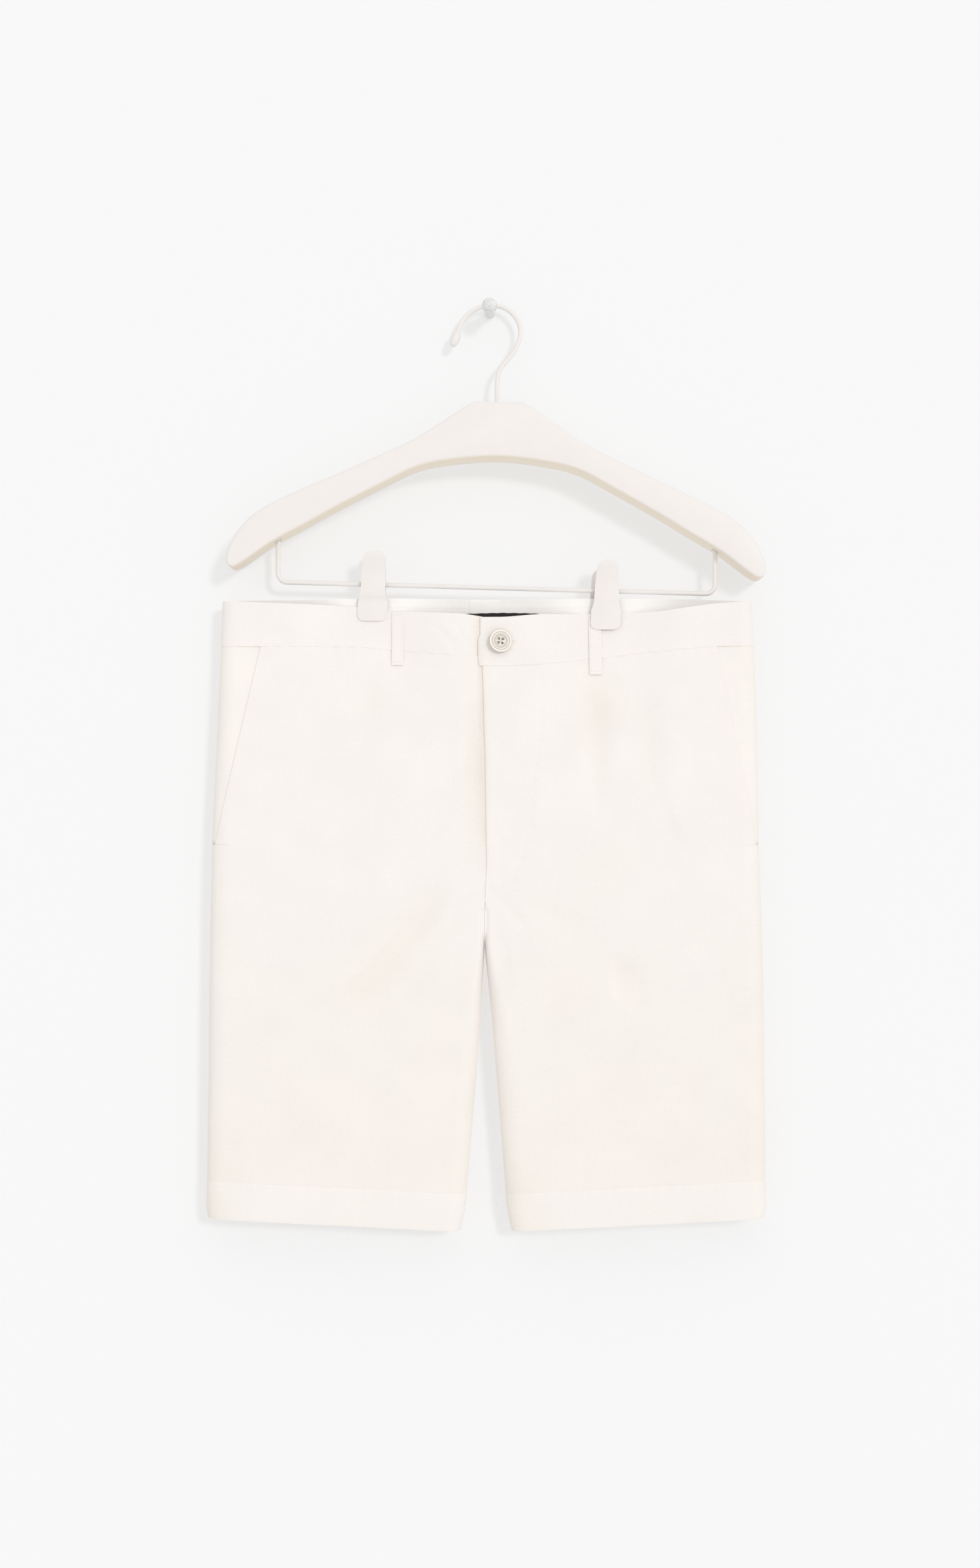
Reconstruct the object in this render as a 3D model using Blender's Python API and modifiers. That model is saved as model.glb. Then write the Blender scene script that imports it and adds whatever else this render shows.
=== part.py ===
"""Bermuda shorts held by two clips on a plain hanger, hooked over a wall knob.

Metres, +Z up. The origin is the centre of the knob's flat back, on the wall. The wall is the
plane y = 0, and the front of the shorts faces -Y. Right and left are the wearer's everywhere:
right is at -X and left at +X.
"""
import math
from typing import NamedTuple

import bmesh
import bpy
import numpy as np
from mathutils import Matrix, Vector

NAME = "bermuda_shorts_on_hanger"

# Depths. Everything that hangs shares one plane, and the cloth's front and back part from it.
MID_Y = -0.022
GAP = 0.0003
RIGHT = -1
LEFT = 1

# Cloth.
PANEL_WALL = 0.0012
HEM_WALL = 0.0022
BAND_WALL = 0.0022
BAND_RISE = 0.0005
FACING_WALL = 0.0010
LABEL_WALL = 0.0006
LOOP_WALL = 0.0014
LOOP_BOW = 0.0005
LOOP_GAP = 0.0005
FACING_GAP = 0.0010

# The shorts' heights.
TOP_Z = -0.2465
SEAM_Z = -0.2848
SETTLE_Z = -0.3600
POCKET_END_Z = -0.4503
FLY_END_Z = -0.4640
CROTCH_Z = -0.5070
CROTCH_X = -0.0040
HEM_TILT_Z = -0.5600
HEM_Z = -0.7640
HEM_DROP = 0.0110
HEM_WIDTH = 0.0320

# Fly and waist overlap.
UNDERLAP_X = 0.0300
UNDERLAP_DIP = -0.0007
OVERLAP_RISE = 0.0012
OVERLAP_BAND_RISE = 0.0019
OVERLAP_FULL_X = 0.0340
OVERLAP_END_X = 0.0600
DIP_START_X = -0.0300
DIP_FULL_X = -0.0140
UNDER_BAND_X = 0.0280
BUTTONHOLE_X = (0.0070, 0.0230)
BUTTONHOLE_Z = -0.2815
BUTTONHOLE_WIDTH = 0.0014

# Rounded side folds: the reach of a fold's quarter ellipse for each unit of its depth.
REACH_PER_DEPTH = 2.0
FOLD_STEPS = 4


class Section(NamedTuple):
    """The outline at one height, and how far front and back stand from the middle plane."""

    height: float
    right_out: float
    right_in: float
    left_in: float
    left_out: float
    front: float
    back: float


SECTIONS = (
    Section(-0.2465, -0.2240, -0.0042, -0.0039, 0.2200, 0.0090, 0.0060),
    Section(-0.2870, -0.2257, -0.0042, -0.0039, 0.2225, 0.0105, 0.0075),
    Section(-0.3410, -0.2282, -0.0042, -0.0039, 0.2249, 0.0120, 0.0100),
    Section(-0.4500, -0.2333, -0.0042, -0.0039, 0.2267, 0.0130, 0.0120),
    Section(-0.5070, -0.2345, -0.00415, -0.00385, 0.2287, 0.0130, 0.0120),
    Section(-0.5300, -0.2349, -0.0043, -0.0037, 0.2295, 0.0130, 0.0120),
    Section(-0.5940, -0.2358, -0.0072, 0.0018, 0.2308, 0.0130, 0.0120),
    Section(-0.6660, -0.2365, -0.0126, 0.0076, 0.2317, 0.0128, 0.0118),
    Section(-0.7570, -0.2379, -0.0203, 0.0148, 0.2327, 0.0120, 0.0110),
    Section(-0.7775, -0.2335, -0.0249, 0.0190, 0.2283, 0.0115, 0.0105),
)


class WaistPoint(NamedTuple):
    """The front waistband's top edge and lower seam at one place across."""

    across: float
    top: float
    seam: float


WAIST = {
    RIGHT: (
        WaistPoint(-0.2257, -0.2465, -0.2848),
        WaistPoint(-0.1110, -0.2507, -0.2848),
        WaistPoint(-0.0850, -0.2539, -0.2872),
        WaistPoint(-0.0580, -0.2555, -0.2896),
        WaistPoint(-0.0220, -0.2575, -0.2928),
        WaistPoint(0.0300, -0.2585, -0.2940),
    ),
    LEFT: (
        WaistPoint(-0.0094, -0.2607, -0.3013),
        WaistPoint(0.0130, -0.2610, -0.3013),
        WaistPoint(0.0420, -0.2578, -0.2999),
        WaistPoint(0.0830, -0.2567, -0.2954),
        WaistPoint(0.1440, -0.2550, -0.2887),
        WaistPoint(0.1880, -0.2486, -0.2846),
        WaistPoint(0.2225, -0.2465, -0.2843),
    ),
}


class EdgePoint(NamedTuple):
    """Where a nearly upright edge runs, at one height."""

    height: float
    across: float


FLY_EDGE = (
    EdgePoint(-0.3013, -0.0059),
    EdgePoint(-0.3264, -0.0049),
    EdgePoint(-0.3774, -0.0032),
    EdgePoint(-0.4677, -0.0022),
    EdgePoint(-0.5070, -0.0040),
)
BAND_EDGE = (
    EdgePoint(-0.2600, -0.0075),
    EdgePoint(-0.2645, -0.0094),
    EdgePoint(-0.2750, -0.0094),
    EdgePoint(-0.2900, -0.0079),
    EdgePoint(-0.3020, -0.0054),
)
POCKET_EDGE = {
    RIGHT: (EdgePoint(-0.2848, -0.1915), EdgePoint(-0.4503, -0.2298)),
    LEFT: (EdgePoint(-0.2848, 0.1905), EdgePoint(-0.4503, 0.2232)),
}
FACING_COVER = 0.0300

# Places along the waistband where it bends: around the clips, and where the overlap starts.
STATION_MARGIN = 0.0030
BAND_STATIONS = {
    RIGHT: (-0.1850, -0.1650, -0.1525, -0.1375, -0.1255, -0.1140, -0.0975, -0.0825, -0.0770,
            -0.0715, -0.0600, -0.0450, -0.0300, -0.0220, -0.0140, 0.0000, 0.0140),
    LEFT: (0.1850, 0.1650, 0.1535, 0.1385, 0.1265, 0.1150, 0.0985, 0.0820, 0.0705, 0.0600,
           0.0470, 0.0340, 0.0200, 0.0060),
}


class Fold(NamedTuple):
    """A soft trough (depth < 0) or ridge between two points of one face."""

    face: str
    x1: float
    z1: float
    x2: float
    z2: float
    width: float
    depth: float


FOLDS = (
    Fold("front", -0.0145, -0.3400, -0.0135, -0.4800, 0.0080, -0.0024),
    Fold("front", 0.0880, -0.3150, 0.0920, -0.4200, 0.0130, -0.0022),
    Fold("front", 0.1310, -0.3100, 0.1340, -0.4150, 0.0120, -0.0018),
    Fold("front", -0.0350, -0.4800, -0.1200, -0.5850, 0.0180, -0.0030),
    Fold("front", 0.1080, -0.5450, 0.1270, -0.5900, 0.0120, -0.0022),
    Fold("front", -0.1000, -0.3000, -0.1030, -0.3700, 0.0150, -0.0016),
    Fold("back", -0.0980, -0.3050, -0.1050, -0.4300, 0.0160, -0.0024),
    Fold("back", 0.1000, -0.3050, 0.1080, -0.4200, 0.0160, -0.0024),
    Fold("back", -0.0300, -0.4850, -0.1050, -0.5650, 0.0200, -0.0026),
    Fold("back", 0.0250, -0.4850, 0.0950, -0.5600, 0.0200, -0.0024),
)

# Clips: where they grip, and how the grip lets the cloth go around them.
CLIP_X = {RIGHT: -0.0975, LEFT: 0.0985}
CLIP_TOP_Z = {RIGHT: -0.2061, LEFT: -0.2130}
CLIP_LEAN = {RIGHT: math.radians(2.5), LEFT: math.radians(1.0)}
CLIP_FRONT_GRIP = {RIGHT: 0.00275, LEFT: 0.00520}
CLIP_BACK_GRIP = 0.00275
GRIP_DEPTH = 0.00185
GRIP_HALF = 0.0165
GRIP_FADE = 0.0700
GRIP_LOW_Z = -0.2750
GRIP_END_Z = -0.3500
CLIP_WALL = 0.0022
SLEEVE_OUTER = 0.0043
SLEEVE_INNER = 0.0023
SLEEVE_LENGTH = 0.0140


class ClipRow(NamedTuple):
    """A clip lever's half width and its stand-off from the middle plane, at one drop."""

    drop: float
    half: float
    stand: float


CLIP_ROWS = (
    ClipRow(0.0000, 0.0030, 0.0090),
    ClipRow(0.0012, 0.0058, 0.0088),
    ClipRow(0.0035, 0.0078, 0.0084),
    ClipRow(0.0080, 0.0090, 0.0072),
    ClipRow(0.0200, 0.0089, 0.0050),
    ClipRow(0.0330, 0.0087, 0.0046),
    ClipRow(0.0405, 0.0090, 0.0038),
    ClipRow(0.0440, 0.0112, 0.0000),
    ClipRow(0.0462, 0.0125, 0.0000),
    ClipRow(0.0550, 0.0125, 0.0000),
    ClipRow(0.0583, 0.0110, 0.0000),
    ClipRow(0.0596, 0.0084, 0.0000),
)

# Hanger.
HANGER_X = 0.0082
HANGER_TOP_Z = -0.0810
HANGER_DEPTH = 0.0360
HANGER_EDGE = 0.0040
HANGER_ROLL = math.radians(1.2)
WIRE_RADIUS = 0.0019
BAR_RADIUS = 0.0020
SOCKET_CLEARANCE = 0.00035


class ArmPoint(NamedTuple):
    """One point of the hanger's half outline: its reach from the centre and its drop."""

    reach: float
    drop: float


ARM_OUTLINE = (
    ArmPoint(0.0190, 0.0000),
    ArmPoint(0.0260, 0.0030),
    ArmPoint(0.0680, 0.0310),
    ArmPoint(0.0970, 0.0455),
    ArmPoint(0.1300, 0.0610),
    ArmPoint(0.1840, 0.0860),
    ArmPoint(0.2080, 0.1025),
    ArmPoint(0.2210, 0.1210),
    ArmPoint(0.2252, 0.1350),
    ArmPoint(0.2225, 0.1420),
    ArmPoint(0.2140, 0.1400),
    ArmPoint(0.1880, 0.1215),
    ArmPoint(0.1600, 0.1055),
    ArmPoint(0.1350, 0.0910),
    ArmPoint(0.0950, 0.0695),
    ArmPoint(0.0680, 0.0560),
    ArmPoint(0.0400, 0.0495),
)
CENTRE_DROP = 0.0460

BAR_LEFT_X = 0.1899
BAR_RIGHT_X = -0.1779
BAR_LEFT_Z = -0.2398
BAR_RIGHT_Z = -0.2302
BAR_TOP_LEFT_Z = -0.1950
BAR_TOP_RIGHT_Z = -0.1890
BAR_CORNER = 0.0080

STEM_FOOT_Z = -0.0930
HOOK_TOP_Y = -0.0100
HOOK_FOOT_Y = -0.0220


class HookPoint(NamedTuple):
    """A point on the middle line of the hook's wire, from its foot to its free end."""

    across: float
    height: float


HOOK_LINE = (
    HookPoint(0.0064, -0.0930),
    HookPoint(0.0064, -0.0740),
    HookPoint(0.0066, -0.0600),
    HookPoint(0.0090, -0.0500),
    HookPoint(0.0150, -0.0420),
    HookPoint(0.0215, -0.0330),
    HookPoint(0.0262, -0.0200),
    HookPoint(0.0240, -0.0080),
    HookPoint(0.0165, 0.0010),
    HookPoint(0.0060, 0.0053),
    HookPoint(-0.0060, 0.0046),
    HookPoint(-0.0170, -0.0010),
    HookPoint(-0.0232, -0.0090),
    HookPoint(-0.0262, -0.0165),
)
HOOK_TIP = ((0.0019, 0.0000), (0.0031, 0.0028), (0.0039, 0.0070), (0.0035, 0.0112), (0.0020, 0.0138))
HOOK_TIP_LENGTH = 0.0148

# Knob: distance from the wall and radius.
KNOB_PROFILE = (
    (0.0415, 0.0000), (0.0411, 0.0022), (0.0398, 0.0042), (0.0375, 0.0057), (0.0352, 0.0064),
    (0.0338, 0.0066), (0.0325, 0.0063), (0.0312, 0.0050), (0.0240, 0.0038), (0.0120, 0.0031),
    (0.0000, 0.0033), (0.0000, 0.0000),
)

BUTTON_X = 0.0092
BUTTON_Z = -0.2812
BUTTON_TILT = (math.radians(-6.0), math.radians(5.0))
BUTTON_PROFILE = (
    (0.0018, 0.0000), (0.0018, 0.0040), (0.0021, 0.0060), (0.0027, 0.0066), (0.0027, 0.0072),
    (0.0030, 0.0080), (0.0027, 0.0088), (0.0018, 0.0090), (0.0008, 0.0086), (0.0000, 0.0070),
    (0.0000, 0.0000),
)
BUTTON_HOLE_RADIUS = 0.0011
BUTTON_HOLE_OFFSET = 0.0016
BUTTON_STAND = 0.0016
THREAD_RADIUS = 0.00055

COLOURS = {
    "cloth": ((0.905, 0.872, 0.830), 0.85, 0.0),
    "facing": ((0.890, 0.855, 0.810), 0.88, 0.0),
    "label": ((0.015, 0.013, 0.013), 0.80, 0.0),
    "plastic": ((0.890, 0.850, 0.810), 0.42, 0.0),
    "hook": ((0.900, 0.880, 0.850), 0.35, 0.0),
    "knob": ((0.700, 0.700, 0.690), 0.45, 0.1),
    "button": ((0.720, 0.640, 0.530), 0.30, 0.0),
    "thread": ((0.860, 0.810, 0.730), 0.80, 0.0),
}


# ---------------------------------------------------------------- scene helpers

def clear_scene():
    """Remove every object that is already there."""
    for old in list(bpy.data.objects):
        bpy.data.objects.remove(old, do_unlink=True)


def collection(name):
    """Make a collection under the scene."""
    made = bpy.data.collections.new(name)
    bpy.context.scene.collection.children.link(made)
    return made


def finish(name):
    """Make or reuse the plain finish of one kind of piece."""
    if name in bpy.data.materials:
        return bpy.data.materials[name]
    colour, roughness, metallic = COLOURS[name]
    made = bpy.data.materials.new(name)
    made.use_nodes = True
    shader = made.node_tree.nodes["Principled BSDF"]
    shader.inputs["Base Color"].default_value = (*colour, 1.0)
    shader.inputs["Roughness"].default_value = roughness
    shader.inputs["Metallic"].default_value = metallic
    return made


def place(name, data, group, material=None):
    """Put new data in a collection as a named object."""
    made = bpy.data.objects.new(name, data)
    group.objects.link(made)
    if material:
        data.materials.append(finish(material))
    return made


def smooth(mesh, degrees=35.0):
    """Shade a mesh smooth up to a sharp angle."""
    mesh.shade_smooth()
    mesh.set_sharp_from_angle(angle=math.radians(degrees))


def as_mesh(curve_object, group, material):
    """Turn a curve object into a closed mesh object of the same name and place."""
    name = curve_object.name
    matrix = curve_object.matrix_world.copy()
    graph = bpy.context.evaluated_depsgraph_get()
    mesh = bpy.data.meshes.new_from_object(curve_object.evaluated_get(graph))
    bpy.data.objects.remove(curve_object, do_unlink=True)
    mesh.materials.clear()
    work = bmesh.new()
    work.from_mesh(mesh)
    bmesh.ops.remove_doubles(work, verts=work.verts, dist=0.000002)
    bmesh.ops.recalc_face_normals(work, faces=work.faces)
    work.to_mesh(mesh)
    work.free()
    made = place(name, mesh, group, material)
    made.matrix_world = matrix
    return made


def cut(target, cutter):
    """Cut one object out of another with an exact Boolean."""
    cutter.hide_render = True
    cutter.display_type = "WIRE"
    step = target.modifiers.new("cut_" + cutter.name, "BOOLEAN")
    step.operation = "DIFFERENCE"
    step.solver = "EXACT"
    step.object = cutter


def cylinder(name, group, radius, length, centre, axis, steps=16, material=None):
    """A closed cylinder about an axis."""
    work = bmesh.new()
    turn = Vector(axis).to_track_quat("Z", "Y").to_matrix().to_4x4()
    bmesh.ops.create_cone(work, cap_ends=True, segments=steps, radius1=radius, radius2=radius,
                          depth=length, matrix=Matrix.Translation(centre) @ turn)
    mesh = bpy.data.meshes.new(name)
    work.to_mesh(mesh)
    work.free()
    smooth(mesh)
    return place(name, mesh, group, material)


def turned(name, group, profile, steps, material):
    """A solid turned about its own Z from (height, radius) pairs, listed from the top down."""
    work = bmesh.new()
    points = [work.verts.new((radius, 0.0, height)) for height, radius in profile]
    for upper, lower in zip(points, points[1:]):
        work.edges.new((upper, lower))
    mesh = bpy.data.meshes.new(name)
    work.to_mesh(mesh)
    work.free()
    made = place(name, mesh, group, material)
    lathe = made.modifiers.new("lathe", "SCREW")
    lathe.angle = math.tau
    lathe.steps = steps
    lathe.render_steps = steps
    lathe.use_merge_vertices = True
    lathe.merge_threshold = 0.00001
    return made


# ---------------------------------------------------------------- tables and rules

def between(low, high, value):
    """Share of the way from low to high, eased at both ends and kept from 0 to 1."""
    share = min(max((value - low) / (high - low), 0.0), 1.0)
    return share * share * (3.0 - 2.0 * share)


def read(rows, column, at):
    """Read a column of a table at a value of its first column, in straight runs."""
    ordered = sorted(rows)
    return float(np.interp(at, [row[0] for row in ordered], [getattr(row, column) for row in ordered]))


def outline(side, z):
    """The side fold of one leg at a height."""
    return read(SECTIONS, "right_out" if side == RIGHT else "left_out", z)


def inner_line(side, z):
    """The inner fold of one leg below the crotch, or the centre seam above it."""
    return read(SECTIONS, "right_in" if side == RIGHT else "left_in", z)


def fullness(distance, reach):
    """Quarter ellipse: 0 on the outline and 1 from a reach inside it."""
    share = min(max(distance / reach, 0.0), 1.0)
    return math.sqrt(1.0 - (1.0 - share) ** 2)


def grip(x, z):
    """How firmly the clips hold front and back together here, from 0 to 1."""
    across = max(1.0 - between(GRIP_HALF, GRIP_FADE, abs(x - clip_x)) for clip_x in CLIP_X.values())
    return across * (1.0 - between(GRIP_LOW_Z, GRIP_END_Z, z))


def fold_depth(face, x, z):
    """The sum of the soft troughs and ridges of one face."""
    total = 0.0
    for fold in FOLDS:
        if fold.face != face:
            continue
        run = Vector((fold.x2 - fold.x1, fold.z2 - fold.z1))
        reach = Vector((x - fold.x1, z - fold.z1))
        along = reach.dot(run) / run.length_squared
        aside = (reach - run * along).length / fold.width
        ends = between(-0.15, 0.30, along) * (1.0 - between(0.55, 1.15, along))
        total += fold.depth * ends * math.exp(-aside * aside)
    return total


def stand_off(face, x, z):
    """How far the face of the cloth stands from the middle plane."""
    depth = read(SECTIONS, face, z)
    reach = REACH_PER_DEPTH * depth
    side = min(x - outline(RIGHT, z), outline(LEFT, z) - x)
    if z > CROTCH_Z:
        inner = math.hypot(x - CROTCH_X, z - CROTCH_Z)
    elif x < CROTCH_X:
        inner = inner_line(RIGHT, z) - x
    else:
        inner = x - inner_line(LEFT, z)
    round_off = fullness(side, reach) * fullness(inner, reach)
    held = grip(x, z)
    free = (depth + fold_depth(face, x, z)) * round_off
    return max(free * (1.0 - held) + min(GRIP_DEPTH, free) * held, GAP / 2.0)


def surface(face, x, z):
    """The point of a face of the cloth at a place across and a height."""
    sign = -1.0 if face == "front" else 1.0
    return Vector((x, MID_Y + sign * stand_off(face, x, z), z))


# ---------------------------------------------------------------- cloth

def grid_normal(grid, face, row, column):
    """The outward direction of a grid of points at one of them."""
    rows = len(grid) - 1
    columns = len(grid[0]) - 1
    point = grid[row][column]
    run = grid[row][min(column + 1, columns)] - grid[row][max(column - 1, 0)]
    fall = grid[min(row + 1, rows)][column] - grid[max(row - 1, 0)][column]
    normal = run.cross(fall)
    if (normal.y > 0.0) != (face == "back"):
        normal.negate()
    if abs(point.y - MID_Y) < GAP:
        normal.y = 0.0
    return normal.normalized()


def wall(name, group, face, grid, rise, thickness, material):
    """A closed cloth wall on a grid of points.

    rise(x, z) moves its outer side out from the grid, and thickness(row) is measured inwards.
    """
    rows = len(grid)
    columns = len(grid[0])
    work = bmesh.new()
    outer = []
    inner = []
    for row in range(rows):
        normals = [grid_normal(grid, face, row, column) for column in range(columns)]
        lifts = [rise(point.x, point.z) for point in grid[row]]
        depth = thickness(row)
        line = zip(grid[row], normals, lifts)
        outer.append([work.verts.new(point + normal * lift) for point, normal, lift in line])
        line = zip(grid[row], normals, lifts)
        inner.append([work.verts.new(point + normal * (lift - depth)) for point, normal, lift in line])
    for row in range(rows - 1):
        for column in range(columns - 1):
            for side in (outer, inner):
                work.faces.new((side[row][column], side[row][column + 1],
                                side[row + 1][column + 1], side[row + 1][column]))
    border = [(0, column) for column in range(columns)]
    border += [(row, columns - 1) for row in range(1, rows)]
    border += [(rows - 1, column) for column in range(columns - 2, -1, -1)]
    border += [(row, 0) for row in range(rows - 2, 0, -1)]
    for (row, column), (next_row, next_column) in zip(border, border[1:] + border[:1]):
        work.faces.new((outer[row][column], outer[next_row][next_column],
                        inner[next_row][next_column], inner[row][column]))
    bmesh.ops.recalc_face_normals(work, faces=work.faces)
    mesh = bpy.data.meshes.new(name)
    work.to_mesh(mesh)
    work.free()
    smooth(mesh, 50.0)
    return place(name, mesh, group, material)


def round_places(edge, sign, reach):
    """Places across a side fold, from its edge to where the cloth lies flat."""
    angles = [math.pi / 2.0 * step / FOLD_STEPS for step in range(FOLD_STEPS + 1)]
    return [edge + sign * reach * (1.0 - math.cos(angle)) for angle in angles]


def spread(outer_edge, inner_edge, reach):
    """Places across a panel from its side to its centre, closer together where it rounds away."""
    sign = 1.0 if inner_edge > outer_edge else -1.0
    side = round_places(outer_edge, sign, reach)
    centre = round_places(inner_edge, -sign, reach)[::-1]
    first = side[-1]
    last = centre[0]
    flat = [first + (last - first) * step / (PANEL_MIDDLE + 1) for step in range(1, PANEL_MIDDLE + 1)]
    return side + flat + centre


def waist_seam(face, side, x):
    """The height of the seam under the waistband."""
    if face == "back":
        return SEAM_Z
    return read(WAIST[side], "seam", x)


def panel_height(face, side, level, x, share):
    """The height of a panel's row: it follows the waist seam at the top and the hem below."""
    top = min(max((level - SETTLE_Z) / (SEAM_Z - SETTLE_Z), 0.0), 1.0)
    low = min(max((HEM_TILT_Z - level) / (HEM_TILT_Z - HEM_Z), 0.0), 1.0)
    return level + top * (waist_seam(face, side, x) - GAP - SEAM_Z) - low * HEM_DROP * share


def centre_edge(face, side, z):
    """The centre edge of a panel: fly or centre seam, and the inseam below the crotch."""
    if z <= CROTCH_Z:
        return inner_line(side, z)
    if face == "back":
        return inner_line(side, z)
    if side == LEFT:
        return read(FLY_EDGE, "across", z) + GAP / 2.0
    if z > FLY_END_Z:
        return UNDERLAP_X
    return read(FLY_EDGE, "across", z) - GAP / 2.0


def side_edge(face, side, z):
    """The side edge of a panel: the slant pocket's edge, and the side fold below it."""
    if face == "front" and z > POCKET_END_Z - GAP:
        return read(POCKET_EDGE[side], "across", z)
    return outline(side, z)


PANEL_LEVELS = (
    SEAM_Z, -0.3000, -0.3250, SETTLE_Z, -0.4050, POCKET_END_Z, -0.4512, -0.4630, -0.4700,
    -0.4850, -0.4970, CROTCH_Z, -0.5200, -0.5470, -0.5940, -0.6500, -0.7050,
    HEM_Z + HEM_WIDTH, HEM_Z + HEM_WIDTH - 0.0015, HEM_Z,
)
HEM_ROWS = 2
PANEL_MIDDLE = 11


def panel_rise(face, side):
    """How a panel lifts or dips at the fly."""
    if face == "back":
        return lambda x, z: 0.0
    if side == LEFT:
        return lambda x, z: (OVERLAP_RISE * (1.0 - between(OVERLAP_FULL_X, OVERLAP_END_X, x))
                             * between(-0.5000, FLY_END_Z, z))
    return lambda x, z: (UNDERLAP_DIP * between(DIP_START_X, DIP_FULL_X, x)
                         * between(-0.5000, FLY_END_Z, z))


def panel(name, group, face, side):
    """One front or back panel, from the waist seam to the hem."""
    grid = []
    for level in PANEL_LEVELS:
        reach = REACH_PER_DEPTH * read(SECTIONS, face, level)
        flat = spread(side_edge(face, side, level), centre_edge(face, side, level), reach)
        line = []
        for index, guess in enumerate(flat):
            share = index / (len(flat) - 1)
            z = panel_height(face, side, level, guess, share)
            fixed = spread(side_edge(face, side, z), centre_edge(face, side, z), reach)
            line.append(surface(face, fixed[index], z))
        grid.append(line)
    last = len(PANEL_LEVELS) - HEM_ROWS
    depth = lambda row: HEM_WALL if row >= last else PANEL_WALL
    return wall(name, group, face, grid, panel_rise(face, side), depth, "cloth")


def pocket_facing(name, group, side):
    """The facing that shows beside a slant pocket's edge and runs on behind the front."""
    levels = [SEAM_Z - GAP] + [SEAM_Z - (SEAM_Z - POCKET_END_Z) * step / 7 for step in range(1, 7)]
    levels.append(POCKET_END_Z + 0.0010)
    hidden = -(PANEL_WALL + FACING_GAP)
    grid = []
    for z in levels:
        fold = outline(side, z)
        edge = side_edge("front", side, z)
        stop = edge - side * FACING_COVER
        shares = [0.0, 0.06, 0.2, 0.45, 0.75, 1.0]
        line = [fold + (edge - fold) * share for share in shares]
        line += [edge + (stop - edge) * share for share in (0.2, 0.6, 1.0)]
        grid.append([surface("front", x, z) for x in line])

    def rise(x, z):
        fold = outline(side, z)
        edge = side_edge("front", side, z)
        return hidden * between(fold, edge - side * 0.0010, x)

    return wall(name, group, "front", grid, rise, lambda row: FACING_WALL, "facing")


def band_places(side, start, stop, reach):
    """Places along a waistband piece, closer together at the side fold and around the clip."""
    places = round_places(start, -side, reach)
    low = min(places[-1], stop) + STATION_MARGIN
    high = max(places[-1], stop) - STATION_MARGIN
    return places + [place_at for place_at in BAND_STATIONS[side] if low < place_at < high] + [stop]


def band_stop(face, side, z):
    """The centre end of a waistband piece."""
    if face == "back":
        return inner_line(side, z)
    return UNDER_BAND_X if side == RIGHT else read(BAND_EDGE, "across", z)


def band_grid(face, side, drops):
    """The points of a waistband piece, in rows from its top edge to its seam."""
    grid = []
    for drop in drops:
        level = TOP_Z + (SEAM_Z - TOP_Z) * drop
        reach = REACH_PER_DEPTH * read(SECTIONS, face, level)
        start = outline(side, level)
        line = []
        for x in band_places(side, start, band_stop(face, side, level), reach):
            z = level
            if face == "front":
                top = read(WAIST[side], "top", x)
                z = top + (read(WAIST[side], "seam", x) - top) * drop
            line.append(surface(face, x, z))
        grid.append(line)
    return grid


def front_band(name, group, side):
    """One front half of the waistband. The left one lies over the right one and has a buttonhole."""
    grid = band_grid("front", side, (0.0, 0.12, 0.5, 1.0))
    if side == LEFT:
        rise = lambda x, z: (BAND_RISE + (OVERLAP_BAND_RISE - BAND_RISE)
                             * (1.0 - between(OVERLAP_FULL_X, OVERLAP_END_X, x)))
    else:
        rise = lambda x, z: (BAND_RISE + (UNDERLAP_DIP - BAND_RISE)
                             * between(DIP_START_X, DIP_FULL_X, x))
    return wall(name, group, "front", grid, rise, lambda row: BAND_WALL, "cloth")


def back_band(name, group, side):
    """One back half of the waistband, up to the centre-back seam."""
    grid = band_grid("back", side, (0.0, 0.5, 1.0))
    return wall(name, group, "back", grid, lambda x, z: BAND_RISE, lambda row: BAND_WALL, "cloth")


def strip(name, group, face, centre_x, width, top, bottom, lean=0.0):
    """A belt loop: a flat strip over the waistband, sewn down at both ends."""
    base = BAND_RISE + LOOP_GAP + LOOP_WALL
    grid = []
    for step in range(8):
        z = top + (bottom - top) * step / 7
        x = centre_x + lean * step / 7
        grid.append([surface(face, x + width * share, z) for share in (-0.5, 0.0, 0.5)])

    def rise(x, z):
        share = (top - z) / (top - bottom)
        return base + LOOP_BOW * math.sin(math.pi * share) ** 2

    return wall(name, group, face, grid, rise, lambda row: LOOP_WALL, "cloth")


def label(name, group):
    """The plain label inside the back waistband."""
    left, right, top, bottom = -0.0219, 0.0420, -0.2566, -0.2770
    grid = []
    for z in (top, (top + bottom) / 2.0, bottom):
        grid.append([surface("back", left + (right - left) * step / 6, z) for step in range(7)])
    inside = BAND_RISE - BAND_WALL - GAP
    return wall(name, group, "back", grid, lambda x, z: inside, lambda row: LABEL_WALL, "label")


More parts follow.
